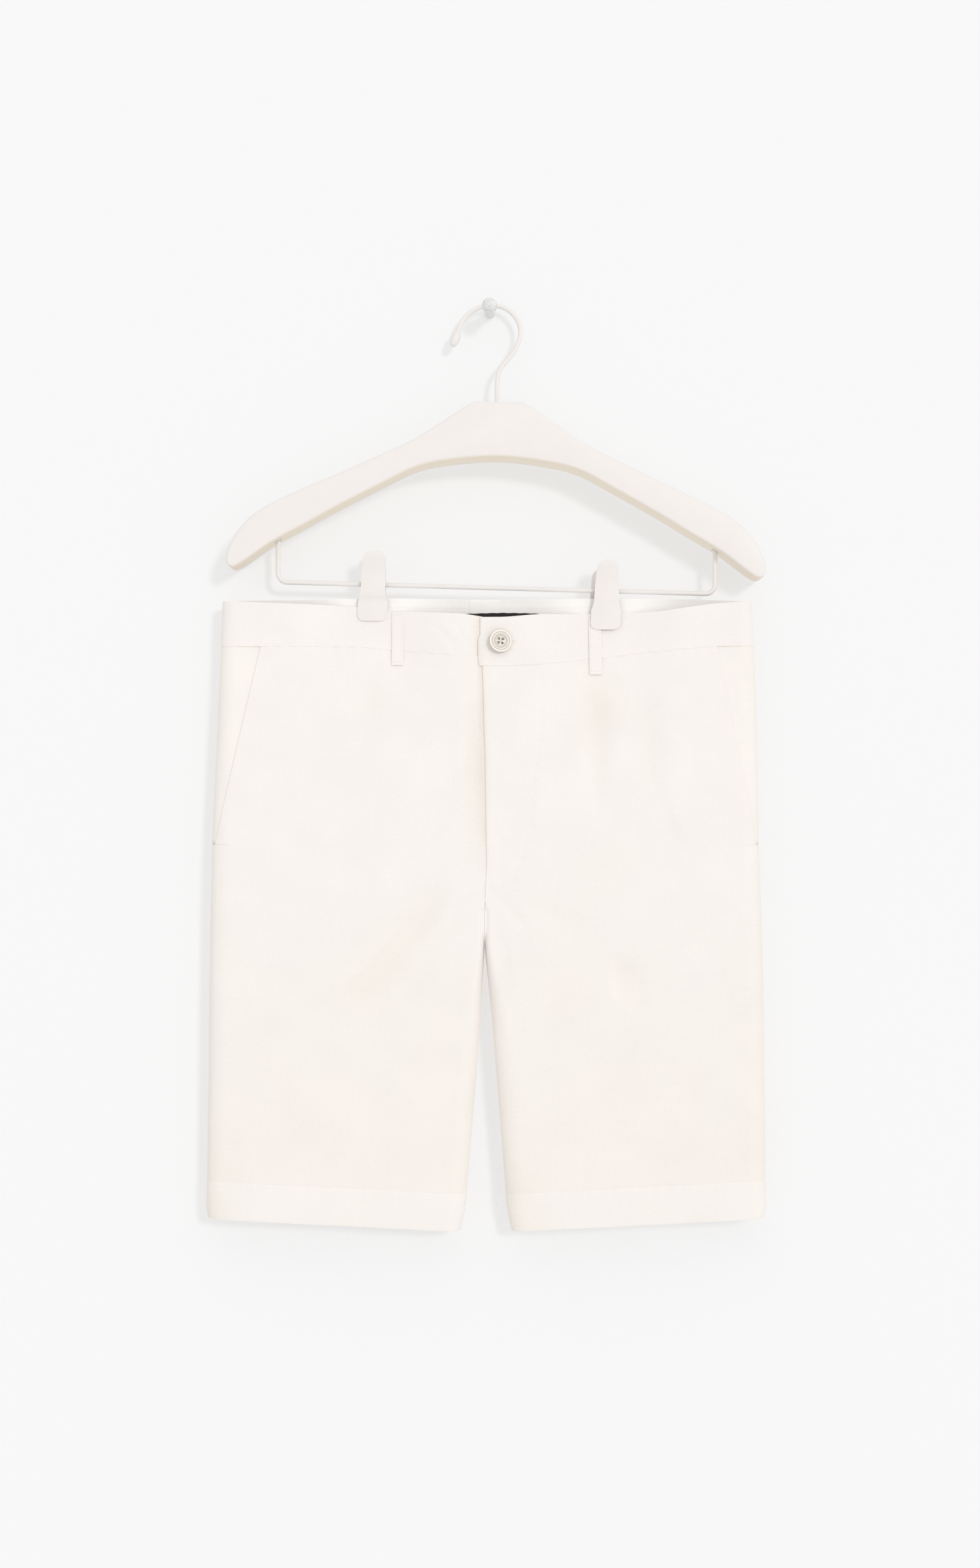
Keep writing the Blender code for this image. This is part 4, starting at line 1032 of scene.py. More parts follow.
def bore(piece: Piece, holes: list[tuple[Matrix, float, float]], sides: int) -> None:
    """Cut round holes in a piece, and keep the result.

    Args:
        piece: The piece.
        holes: The middle, radius and length of each hole.
        sides: Sides of each hole.
    """
    work = bmesh.new()
    for matrix, radius, length in holes:
        bmesh.ops.create_cone(work, cap_ends=True, segments=sides, radius1=radius, radius2=radius,
                              depth=length, matrix=matrix)
    cutter = link("drill", to_mesh("drill", work), piece.data.materials[0])
    step = piece.modifiers.new("holes", "BOOLEAN")
    step.operation = "DIFFERENCE"
    step.solver = "EXACT"
    step.object = cutter
    keep_modifiers(piece)
    bpy.data.objects.remove(cutter, do_unlink=True)


def claim(piece: Piece, slot: str, *nodes: str) -> Piece:
    """Ride a piece on the one body, hide the nodes it stands for, and log its faces and slot."""
    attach(piece, "root")
    if nodes:
        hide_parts(*nodes)
    count = len(piece.data.polygons)
    LOG.info("%s: %d faces before its modifiers, slot %s", piece.name, count, slot)
    return piece


def round_edges(piece: Piece, width: float, segments: int = 2, degrees: float = 40.0) -> None:
    """Round a piece's sharp edges with a live Bevel."""
    step = piece.modifiers.new("rounded_edges", "BEVEL")
    step.width = width
    step.segments = segments
    step.limit_method = "ANGLE"
    step.angle_limit = math.radians(degrees)


@dataclass
class ClothGrid:
    """A wall of cloth laid on a grid of surface points."""

    name: str
    face: Face
    points: Array
    rise: Array
    walls: Array
    tone: Array
    finish: WovenCloth | RibbedTape
    bevel: float = 0.0003
    inner_finish: WovenCloth | None = None

    def build(self) -> Piece:
        """Make the cloth: outer surface, UV map in metres, tone, and thickness inwards."""
        normals = grid_normals(self.face, self.points)
        outer = self.points + normals * self.rise[..., None]
        mesh, row, column = grid_mesh(self.name, self.face, outer)
        self.unwrap(mesh, outer, row, column)
        tone = mesh.attributes.new("tone", "FLOAT", "POINT")
        tone.data.foreach_set("value", self.tone[row, column].astype(np.float32))
        piece = link(self.name, mesh, self.finish.material())
        self.thicken(piece, self.walls[row, column])
        if self.inner_finish:
            mesh.materials.append(self.inner_finish.material())
            piece.modifiers["wall"].material_offset = 1
        round_edges(piece, self.bevel, 2, 50.0)
        return piece

    @staticmethod
    def unwrap(mesh: Mesh, outer: Array, row: Array, column: Array) -> None:
        """Lay a UV map in metres along the cloth's rows and heights."""
        step = np.linalg.norm(np.diff(outer, axis=1), axis=-1)
        across = np.concatenate([np.zeros((len(outer), 1)), np.cumsum(step, axis=1)], axis=1)
        middle = outer.shape[1] // 2
        turn = np.sign(outer[0, -1, 0] - outer[0, 0, 0])
        across = (across - across[:, middle:middle + 1]) * turn + outer[:, middle:middle + 1, 0]
        place = np.stack([across, outer[..., 2]], axis=-1)[row, column]
        corner = np.empty(len(mesh.loops), np.int32)
        mesh.loops.foreach_get("vertex_index", corner)
        layer = mesh.uv_layers.new(name="weave")
        layer.data.foreach_set("uv", place[corner].astype(np.float32).ravel())

    @staticmethod
    def thicken(piece: Piece, walls: Array) -> None:
        """Give the cloth its thickness inwards, which may vary over it."""
        thickest = float(walls.max())
        group = piece.vertex_groups.new(name="wall")
        levels = np.rint(walls / thickest * WALL_LEVELS).astype(int)
        for level in np.unique(levels):
            group.add(np.flatnonzero(levels == level).tolist(), level / WALL_LEVELS, "REPLACE")
        step = piece.modifiers.new("wall", "SOLIDIFY")
        step.thickness = thickest
        step.offset = -1.0
        step.vertex_group = "wall"
        step.use_quality_normals = True


def hang(piece: Piece, slot: str, flat: Pair, area: float, *nodes: str) -> Piece:
    """Claim a built cloth.

    Args:
        piece: The cloth.
        slot: The cloth's slot.
        flat: The cut's width and height; not used.
        area: The cut's area; not used.
        nodes: The solids that the cloth stands for.

    Returns:
        The same cloth.
    """
    claim(piece, slot, *nodes)
    return piece


def graded(start: float, stop: float, coarse: float, fine: float, marks: tuple[float, ...],
           reach: float) -> Array:
    """Places from start to stop, closer together near the marks.

    Args:
        start: The first place.
        stop: The last place.
        coarse: The usual step.
        fine: The step at a mark.
        marks: Where steps are fine.
        reach: How far from a mark they widen again.

    Returns:
        The places, in order.
    """
    dense = np.linspace(start, stop, DENSE_PLACES)
    near = np.min([np.abs(dense - mark) for mark in marks], axis=0)
    step = fine + (coarse - fine) * ease(reach * 0.4, reach, near)
    count = np.concatenate([[0.0], np.cumsum(abs(stop - start) / (DENSE_PLACES - 1) / step[1:])])
    wanted = np.linspace(0.0, count[-1], int(round(count[-1])) + 1)
    return np.interp(wanted, count, dense)


def round_places(edge: Array, sign: Array | float, reach: Array, steps: int) -> Array:
    """Places across a rounded fold, one column for each step from its edge to the flat."""
    angles = math.pi / 2.0 * np.arange(steps + 1) / steps
    return np.asarray(edge)[:, None] + sign * np.asarray(reach)[:, None] * (1.0 - np.cos(angles))


# ------------------------------------------------------------------ stitches

@dataclass
class StitchRow:
    """Machine stitches along a line on the cloth, joined in one mesh."""

    path: Array
    normal: Array
    pitch: float = 0.0033
    length: float = 0.0025
    width: float = 0.00046
    height: float = 0.00022
    sink: float = 0.00004

    def matrices(self) -> list[Matrix]:
        """A matrix for each stitch, which turns and scales a unit ball."""
        step = np.linalg.norm(np.diff(self.path, axis=0), axis=1)
        along = np.concatenate([[0.0], np.cumsum(step)])
        count = max(int(along[-1] // self.pitch), 1)
        wanted = (np.arange(count) + 0.5) * along[-1] / count
        reads = ((wanted, self.path), (wanted - STITCH_STEP, self.path), (wanted + STITCH_STEP, self.path),
                 (wanted, self.normal))
        columns = [np.stack([np.interp(places, along, axis) for axis in values.T], axis=1)
                   for places, values in reads]
        made = []
        for centre, start, stop, up in zip(*columns):
            run = Vector(stop - start).normalized()
            up = Vector(up)
            up = (up - run * up.dot(run)).normalized()
            side = up.cross(run)
            turn = Matrix((run, side, up)).transposed().to_4x4()
            size = Matrix.Diagonal((self.length / 2.0, self.width / 2.0, self.height, 1.0))
            made.append(Matrix.Translation(Vector(centre) - up * self.sink) @ turn @ size)
        return made


def sew(name: str, rows: list[StitchRow]) -> Piece:
    """Join rows of stitches in one object.

    Args:
        name: The object's name.
        rows: The rows of stitches.

    Returns:
        The object.
    """
    total = bmesh.new()
    for row in rows:
        work = bmesh.new()
        for matrix in row.matrices():
            bmesh.ops.create_uvsphere(work, u_segments=6, v_segments=4, radius=1.0, matrix=matrix)
        part = bpy.data.meshes.new(name)
        work.to_mesh(part)
        work.free()
        total.from_mesh(part)
        bpy.data.meshes.remove(part)
    bmesh.ops.recalc_face_normals(total, faces=total.faces)
    return place_piece(name, total, 80.0, THREAD)


# ------------------------------------------------------------------ the shorts

@dataclass
class ClothPart:
    """A part of the shorts that lies on the drape."""

    drape: Drape
    face: Face

    def rise(self, x: Array, z: Array) -> Array:
        """How far the part stands from the drape."""
        raise NotImplementedError

    def surface(self, x: Array, z: Array) -> Array:
        """Points of the outer surface where the drape is flat."""
        points = self.drape.points(self.face, x, z)
        points[..., 1] += self.face.value * self.rise(x, z)
        return points

    def stitches(self, x: Array, z: Array) -> StitchRow:
        """A stitch row on the outer surface.

        Args:
            x: Places along the row.
            z: Heights along the row.

        Returns:
            The row, with the surface's own outward directions.
        """
        step = STITCH_STEP
        shifts = ((-step, 0.0), (step, 0.0), (0.0, -step), (0.0, step))
        grid = np.stack([self.surface(x + dx, z + dz) for dx, dz in shifts])
        normal = np.cross(grid[1] - grid[0], grid[3] - grid[2])
        normal[(normal[:, 1] > 0.0) != (self.face is Face.BACK)] *= -1.0
        normal /= np.linalg.norm(normal, axis=1, keepdims=True)
        return StitchRow(self.surface(x, z), normal)


@dataclass
class Panel(ClothPart):
    """One front or back panel, from the waist seam to the hem."""

    side: Side
    spacing: float = 0.0026
    fold_steps: int = 12
    hem_groove: float = 0.00025
    pucker: float = 0.00016

    @property
    def node(self) -> str:
        """The solid that the panel stands for."""
        return f"{self.face.name.lower()}_{self.side.word}_panel"

    def centre_edge(self, z: Array) -> Array:
        """The centre edge: fly or centre seam, and the inseam below the crotch."""
        inner = self.drape.inner_line(self.side, z)
        if self.face is Face.BACK:
            return inner
        fly = FLY_EDGE.at(z)
        if self.side is Side.LEFT:
            return np.where(z > CROTCH_Z, fly + GAP / 2.0, inner)
        closed = np.where(z > CROTCH_Z, fly - GAP / 2.0, inner)
        return closed + (UNDERLAP_X - closed) * ease(OVERLAP_END_Z, FLY_END_Z, z)

    def side_edge(self, z: Array) -> Array:
        """The side edge: the slant pocket's edge, and the side fold below it."""
        fold = self.drape.outline(self.side, z)
        if self.face is Face.BACK:
            return fold
        pocket = POCKET_EDGE[self.side].at(z)
        return np.where(z > POCKET_END_Z - GAP, pocket, fold)

    def places(self, z: Array, reach: Array, columns: int) -> Array:
        """Places across the panel at one height for each row, closer together at its folds."""
        start, stop = self.side_edge(z), self.centre_edge(z)
        sign = np.sign(stop - start)[:, None]
        near = round_places(start, sign, reach, self.fold_steps)
        far = round_places(stop, -sign, reach, self.fold_steps)[:, ::-1]
        share = np.arange(1, columns + 1) / (columns + 1)
        middle = near[:, -1:] + (far[:, :1] - near[:, -1:]) * share
        return np.concatenate([near, middle, far], axis=1)

    def lower(self, level: Array, x: Array, share: Array) -> Array:
        """The height of a row at each place: along the waist seam at the top, the hem below."""
        top = np.clip((level - SETTLE_Z) / (SEAM_Z - SETTLE_Z), 0.0, 1.0)
        low = np.clip((HEM_TILT_Z - level) / (HEM_TILT_Z - HEM_Z), 0.0, 1.0)
        seam = np.full_like(x, SEAM_Z)
        if self.face is Face.FRONT:
            seam = WAIST_SEAM[self.side].at(x)
        return level + top * (seam + SEAM_TUCK - SEAM_Z) - low * HEM_DROP * share

    def rise(self, x: Array, z: Array) -> Array:
        """How far the panel stands from the drape."""
        return self.lift(x, z) + self.detail(x, z)

    def lift(self, x: Array, z: Array) -> Array:
        """How the panel lifts or dips at the fly."""
        if self.face is Face.BACK:
            return np.zeros_like(x)
        above = ease(OVERLAP_END_Z, FLY_END_Z, z)
        if self.side is Side.LEFT:
            return OVERLAP_RISE * (1.0 - ease(*OVERLAP_FADE_X, x)) * above
        behind = ease(-0.0004, 0.0012, x - FLY_EDGE.at(z)) * (1.0 - above)
        return UNDERLAP_DIP * ease(*DIP_FADE_X, x) * above - 0.0014 * behind

    def hem_line(self, x: Array) -> Array:
        """The height of the bottom edge at each place across."""
        outer = self.drape.outline(self.side, np.full_like(x, HEM_Z))
        inner = self.drape.inner_line(self.side, np.full_like(x, HEM_Z))
        return HEM_Z - HEM_DROP * np.clip((x - outer) / (inner - outer), 0.0, 1.0)

    def detail(self, x: Array, z: Array) -> Array:
        """Small relief of the sewing: the hem's groove and puckers, and the seams' ridges."""
        line = self.hem_line(x) + HEM_WIDTH
        away = z - line
        waver = (np.sin(math.tau * x / 0.0117 + 1.3 * np.sin(61.0 * x))
                 + 0.6 * np.sin(math.tau * x / 0.0071 + 2.0))
        total = -self.hem_groove * np.exp(-(away / 0.0011) ** 2)
        total += 0.00022 * ease(0.0012, -0.0022, away)
        total += self.pucker * waver * np.exp(-((away + 0.003) / 0.0065) ** 2)
        total += self.pucker * 0.5 * waver * np.exp(-((away + 0.029) / 0.004) ** 2)
        seam = WAIST_SEAM[self.side].at(x) if self.face is Face.FRONT else SEAM_Z
        total += self.pucker * 0.9 * np.sin(math.tau * x / 0.0135 + 3.0 * np.sin(37.0 * x)) \
            * np.exp(-((seam - z) / 0.008) ** 2)
        fold = np.abs(x - self.drape.outline(self.side, z))
        ridge = 1.0 + 0.5 * np.sin(math.tau * z / 0.021) * np.sin(math.tau * z / 0.0487 + 1.0)
        open_side = ease(POCKET_END_Z + 0.004, POCKET_END_Z - 0.006, z) if self.face is Face.FRONT else 1.0
        total += 0.00028 * ridge * np.exp(-((fold - 0.0046) / 0.0016) ** 2) * open_side
        if self.face is Face.FRONT and self.side is Side.LEFT:
            total += self.fly_groove(x, z)
        return total

    @staticmethod
    def fly_groove(x: Array, z: Array) -> Array:
        """The groove and puckers that the fly's stitching leaves."""
        along, away = beside(smooth_route(FLY_STITCHING, 10), x, z)
        waver = np.sin(along * 1.9 + np.sin(along * 0.7)) + 0.5 * np.sin(along * 3.7)
        return -0.00048 * np.exp(-(away / 0.0016) ** 2) + 0.00014 * waver * np.exp(-(away / 0.006) ** 2)

    def tone(self, x: Array, z: Array) -> Array:
        """The cloth's tone, mostly from 0 to 1: darker towards the bottom, brighter on the hem, with painted
        shade at folds, corners, creases and the fly, and a painted lighter strip at the crotch slit.
        """
        down = ease(-0.42, -0.74, z)
        hem = ease(0.0008, -0.0008, z - self.hem_line(x) - HEM_WIDTH)
        out = np.abs(x - self.drape.outline(self.side, z))
        # Darker towards the bottom, brighter on the hem, and painted shade where the cloth turns at the side
        # fold.
        total = 0.92 - 0.42 * down + 0.34 * hem - 0.2 * (1.0 - ease(0.0, 0.014, out))
        low_side = (self.drape.outline if self.side is Side.RIGHT else self.drape.inner_line)(self.side, z)
        # Painted shade at the hem corners, and a painted lighter strip in the crotch slit.
        corner = np.exp(-(((x - low_side) / 0.026) ** 2 + ((z - HEM_Z) / 0.036) ** 2))
        slit = np.exp(-((x - CROTCH_X) / 0.0045) ** 2) * ease(CROTCH_Z - 0.045, CROTCH_Z - 0.03, z)
        # Painted shade in the troughs of the creases.
        low = np.clip(-self.drape.relief(self.face, x, z) / 0.003, -0.5, 1.0)
        total = total - 0.6 * corner - 0.3 * low + 0.3 * slit * ease(CROTCH_Z + 0.01, CROTCH_Z, z)
        # Painted warm shade in patches.
        for cloud_x, cloud_z, wide, tall, share in PAINTED_SHADE_CLOUDS[self.face]:
            total -= share * np.exp(-((x - cloud_x) / wide) ** 2 - ((z - cloud_z) / tall) ** 2)
        # A painted warm shadow along the edge of the fly's overlap.
        if self.face is Face.FRONT:
            fly = x - FLY_EDGE.at(z) + 0.0008
            total -= 1.3 * np.exp(-(fly / 0.0022) ** 2) * ease(FLY_END_Z - 0.02, FLY_END_Z + 0.04, z)
        return np.clip(total, -1.2, 1.05)

    def build(self) -> Piece:
        """Make the panel."""
        levels = graded(SEAM_Z, HEM_Z, self.spacing, 0.0008, (HEM_Z + HEM_WIDTH,), 0.0045)
        levels = np.sort(np.concatenate([levels, [POCKET_END_Z, POCKET_END_Z - 0.0008]]))[::-1]
        reach = REACH_PER_DEPTH * self.drape.depth(self.face, levels)
        columns = int(PANEL_SPAN / self.spacing)
        x = self.places(levels, reach, columns)
        for _ in range(2):
            edge = self.side_edge(levels)[:, None]
            share = np.clip((x - edge) / (self.centre_edge(levels)[:, None] - edge), 0.0, 1.0)
            z = self.lower(levels[:, None], x, share)
            x = np.stack([self.places(z[:, column], reach, columns)[:, column]
                          for column in range(x.shape[1])], axis=1)
        points = self.drape.points(self.face, x, z)
        walls = PANEL_WALL + (HEM_WALL - PANEL_WALL) * ease(0.0006, -0.0006, z - self.hem_line(x) - HEM_WIDTH)
        cloth = ClothGrid(f"{self.node}_cloth", self.face, points, self.rise(x, z), walls,
                          self.tone(x, z), CLOTH)
        width = float(np.ptp(points[..., 0])) + PANEL_FOLDS
        area = round(PANEL_CLOTH_Z * (width - PANEL_SLANT), 4)
        return hang(cloth.build(), "cloth", (width, PANEL_FLAT_Z), area, self.node)

    def hem_stitches(self) -> StitchRow:
        """The row of stitches along the top of the hem."""
        outer = float(self.drape.outline(self.side, np.array([HEM_Z + HEM_WIDTH]))[0])
        inner = float(self.drape.inner_line(self.side, np.array([HEM_Z + HEM_WIDTH]))[0])
        sign = 1.0 if inner > outer else -1.0
        x = np.linspace(outer + sign * 0.003, inner - sign * 0.003, 260)
        return self.stitches(x, self.hem_line(x) + HEM_WIDTH)


@dataclass
class PocketFacing:
    """The facing beside a slant pocket's edge, which runs on behind the front."""

    drape: Drape
    side: Side
    cover: float = 0.03
    rows: int = 66

    def build(self) -> Piece:
        """Make the facing."""
        z = np.linspace(SEAM_Z + 0.0008, POCKET_END_Z - 0.0045, self.rows)
        fold = self.drape.outline(self.side, z)
        edge = POCKET_EDGE[self.side].at(z)
        shares = 1.0 - np.cos(np.linspace(0.0, math.pi / 2.0, 22))
        shown = fold[:, None] + (edge - fold)[:, None] * shares
        covered = edge[:, None] - self.side.value * self.cover * np.linspace(0.0, 1.0, 12)[None, 1:]
        x = np.concatenate([shown, covered], axis=1)
        heights = np.repeat(z[:, None], x.shape[1], axis=1)
        points = self.drape.points(Face.FRONT, x, heights)
        start, stop = fold[:, None], (edge - self.side.value * 0.001)[:, None]
        share = np.clip((x - start) / (stop - start), 0.0, 1.0)
        hidden = np.maximum(share, ease(POCKET_END_Z + 0.004, POCKET_END_Z + 0.0004, heights))
        rise = -FACING_HIDE * hidden * hidden * (3.0 - 2.0 * hidden)
        walls = np.full(x.shape, FACING_WALL)
        # Painted shade where the facing turns at the side fold.
        tone = 0.95 - 0.55 * np.clip(1.0 - np.abs(x - fold[:, None]) / 0.016, 0.0, 1.0)
        cloth = ClothGrid(f"pocket_facing_{self.side.word}_cloth", Face.FRONT, points, rise, walls, tone,
                          FACING, 0.0002)
        return hang(cloth.build(), "cloth", (0.072, 0.167), 0.0082, f"pocket_facing_{self.side.word}")


@dataclass
class Waistband(ClothPart):
    """One quarter of the waistband. The left front one lies over the right and has a buttonhole."""

    side: Side
    spacing: float = 0.0022
    stitch_drop: float = 0.005
    rows: int = 26
    fold_steps: int = 10

    @property
    def node(self) -> str:
        """The solid that this piece stands for."""
        return f"waistband_{self.face.name.lower()}_{self.side.word}"

    def stop(self, z: Array) -> Array:
        """The centre end of the band at each height."""
        if self.face is Face.BACK:
            return np.full_like(z, CROTCH_X)
        if self.side is Side.RIGHT:
            return np.full_like(z, UNDER_BAND_X)
        return BAND_EDGE.at(z)

    def edges(self, x: Array) -> tuple[Array, Array]:
        """The heights of the top edge and of the seam at each place."""
        if self.face is Face.BACK:
            return BACK_TOP.at(x), np.full_like(x, SEAM_Z)
        return (WAIST_TOP[self.side].at(x), WAIST_SEAM[self.side].at(x))

    def rise(self, x: Array, z: Array) -> Array:
        """How far the band stands proud of the drape."""
        top, seam = self.edges(x)
        share = (top - z) / (top - seam)
        total = np.full_like(x, BAND_RISE)
        if self.face is Face.FRONT and self.side is Side.LEFT:
            total += (OVERLAP_BAND_RISE - BAND_RISE) * (1.0 - ease(*OVERLAP_FADE_X, x))
        elif self.face is Face.FRONT:
            total += (BAND_DIP - BAND_RISE) * ease(*DIP_FADE_X, x)
        ripple = np.sin(math.tau * x / 0.0131 + 2.0 * np.sin(41.0 * x + self.face.value))
        total += 0.00012 * ripple * np.exp(-((share - 1.0) / 0.16) ** 2)
        total += 0.00007 * np.sin(math.tau * x / 0.031 + 1.0) * np.sin(math.pi * share)
        total -= 0.00012 * np.exp(-((share - 1.0) / 0.035) ** 2)
        return total - 0.00022 * np.exp(-(share / 0.05) ** 2)

    def build(self) -> Piece:
        """Make the piece of band."""
        share = graded(0.0, 1.0, 1.0 / self.rows, 0.012, (0.0, 1.0), 0.1)
        level = TOP_Z + (SEAM_Z - TOP_Z) * share
        reach = REACH_PER_DEPTH * self.drape.depth(self.face, level)
        start, stop = self.drape.outline(self.side, level), self.stop(level)
        sign = -float(self.side.value)
        near = round_places(start, sign, reach, self.fold_steps)
        count = int(abs(float(stop[0] - near[0, -1])) / self.spacing)
        middle = near[:, -1:] + (stop[:, None] - near[:, -1:]) * (np.arange(1, count + 1) / count)
        x = np.concatenate([near, middle], axis=1)
        top, seam = self.edges(x)
        z = top + (seam - top) * share[:, None]
        points = self.drape.points(self.face, x, z)
        walls = np.full(x.shape, BAND_WALL)
        # Painted shade where the band turns at the side fold.
        out = np.abs(x - self.drape.outline(self.side, z))
        tone = 0.95 - 0.2 * (1.0 - ease(0.0, 0.014, out))
        # A painted warm shadow line beside the edge of the overlap.
        if self.face is Face.FRONT:
            tone -= 1.0 * np.exp(-((x - BAND_EDGE.at(z) + 0.0008) / 0.0022) ** 2)
        lining = LINING if self.face is Face.BACK else None
        piece = ClothGrid(f"{self.node}_cloth", self.face, points, self.rise(x, z), walls, tone,
                          CLOTH, inner_finish=lining).build()
        if self.face is Face.FRONT and self.side is Side.LEFT:
            self.open_buttonhole(piece)
        width = float(np.ptp(x)) + BAND_FOLD
        return hang(piece, "cloth", (width, BAND_FLAT_Z), round(width * BAND_CLOTH_Z, 4), self.node)

    @staticmethod
    def open_buttonhole(piece: Piece) -> None:
        """Part the grid's faces along the buttonhole, so that the wall closes round a slit."""
        work = bmesh.new()
        work.from_mesh(piece.data)
        start, stop = BUTTONHOLE_X
        inside = [face for face in work.faces
                  if start + 0.002 < face.calc_center_median().x < stop - 0.005
                  and abs(face.calc_center_median().z - BUTTONHOLE_Z) < 0.0008]
        bmesh.ops.delete(work, geom=inside, context="FACES")
        edge = [vertex for vertex in work.verts if vertex.is_boundary
                and start < vertex.co.x < stop - 0.004 and abs(vertex.co.z - BUTTONHOLE_Z) < 0.003]
        for vertex in edge:
            vertex.co.z = BUTTONHOLE_Z + (vertex.co.z - BUTTONHOLE_Z) * 0.3
        work.to_mesh(piece.data)
        work.free()

    def inner_stitches(self) -> StitchRow:
        """Stitches inside the back band, a little below its top edge."""
        x = np.linspace(-0.085, 0.085, 200)
        z = np.full_like(x, TOP_Z - self.stitch_drop)
        row = self.stitches(x, z)
        row.path = row.path - row.normal * BAND_WALL
        row.normal = -row.normal
        return row


@dataclass
class BeltLoop(ClothPart):
    """A belt loop: a flat strip over the waistband, sewn down at both ends."""

    word: str
    centre: float
    width: float
    top: float
    bottom: float
    lean: float = 0.0

    def places(self, rows: int, columns: int, inset: float = 0.0) -> tuple[Array, Array]:
        """Places and heights over the strip."""
        share = graded(0.0, 1.0, 1.0 / rows, 0.006, (0.0, 1.0), 0.08)[:, None]
        across = np.linspace(-0.5, 0.5, columns)[None, :] * (self.width - 2.0 * inset)
        z = self.top + (self.bottom - self.top) * share + 0.0 * across
        narrow = 1.0 - 0.035 * np.sin(math.pi * share) ** 2
        return self.centre + self.lean * share + across * narrow, z

    def rise(self, x: Array, z: Array) -> Array:
        """How far the strip stands from the drape, with its flat ends and soft middle."""
        share = (self.top - z) / (self.top - self.bottom)
        aside = (x - self.centre - self.lean * share) / self.width
        base = BAND_RISE + LOOP_GAP + LOOP_WALL
        total = base + LOOP_BOW * np.sin(math.pi * share) ** 2
        total = total - 0.00035 * (2.0 * np.abs(aside)) ** 4
        total -= 0.0003 * (np.exp(-((share - 0.05) / 0.03) ** 2) + np.exp(-((share - 0.95) / 0.03) ** 2))
        return total + 0.00008 * np.sin(math.tau * z / 0.011) * np.sin(math.pi * share)

    def build(self) -> Piece:
        """Make the loop."""
        x, z = self.places(44, 13)
        points = self.drape.points(self.face, x, z)
        walls = np.full(x.shape, LOOP_WALL)
        tone = np.full(x.shape, 0.95)
        node = f"belt_loop_{self.word}"
        cloth = ClothGrid(f"{node}_cloth", self.face, points, self.rise(x, z), walls, tone, CLOTH)
        length = self.top - self.bottom
        flat = (self.width + 0.001, length + 0.004)
        return hang(cloth.build(), "cloth", flat, round(self.width * length * 1.06, 6), node)

    def tacks(self) -> list[StitchRow]:
        """A close bar of stitches across each end, and an edge row down each side."""
        rows = []
        for z in (self.top - 0.003, self.bottom + 0.003):
            x = np.linspace(self.centre - self.width * 0.38, self.centre + self.width * 0.38, 12)
            share = (self.top - z) / (self.top - self.bottom)
            row = self.stitches(x + self.lean * share, np.full_like(x, z))
            row.pitch, row.length, row.width = 0.0008, 0.0016, 0.00055
            rows.append(row)
        for edge in (-1.0, 1.0):
            z = np.linspace(self.top - 0.001, self.bottom + 0.001, 40)
            share = (self.top - z) / (self.top - self.bottom)
            x = self.centre + self.lean * share + edge * (self.width / 2.0 - 0.0016)
            rows.append(self.stitches(x, z))
        return rows


@dataclass
class BackLabel:
    """The plain label inside the back waistband."""

    drape: Drape
    left: float = -0.0219
    right: float = 0.042
    top: float = -0.2566
    bottom: float = -0.277

    def build(self) -> Piece:
        """Make the label."""
        x, z = np.meshgrid(np.linspace(self.left, self.right, 65), np.linspace(self.top, self.bottom, 22))
        middle = (x - self.left) / (self.right - self.left)
        z = z + 0.001 * np.sin(math.pi * middle) ** 0.6 + 0.00012 * np.sin(math.tau * x / 0.0093)
        points = self.drape.points(Face.BACK, x, z)
        rise = np.full(x.shape, BAND_RISE - BAND_WALL - GAP - 0.0004)
        rise += 0.00006 * np.sin(math.tau * x / 0.017)
        tape = ClothGrid("back_label_tape", Face.BACK, points, rise, np.full(x.shape, LABEL_WALL),
                         np.ones(x.shape), LABEL, 0.0001)
        return hang(tape.build(), "label", (0.064, 0.0206), 0.0013, "back_label")


@dataclass
class SeamAllowance:
    """The pressed-open allowance of the centre seam inside the back waistband."""

    drape: Drape
    left: float = -0.0168
    right: float = 0.0078

    def build(self) -> Piece:
        """Make the strip."""
        x, share = np.meshgrid(np.linspace(self.left, self.right, 25), np.linspace(0.0, 1.0, 18))
        top = BACK_TOP.at(x) - 0.0004
        z = top + (SEAM_Z + 0.001 - top) * share
        points = self.drape.points(Face.BACK, x, z)
        middle = np.abs(x - CROTCH_X) / 0.0045
        rise = BAND_RISE - BAND_WALL + 0.0001 - 0.00035 * np.exp(-middle ** 2)
        strip = ClothGrid("back_seam_allowance_cloth", Face.BACK, points, rise, np.full(x.shape, 0.0007),
                          np.full(x.shape, 0.9), LINING, 0.0002)
        return hang(strip.build(), "cloth", (self.right - self.left, 0.04), 0.00096)


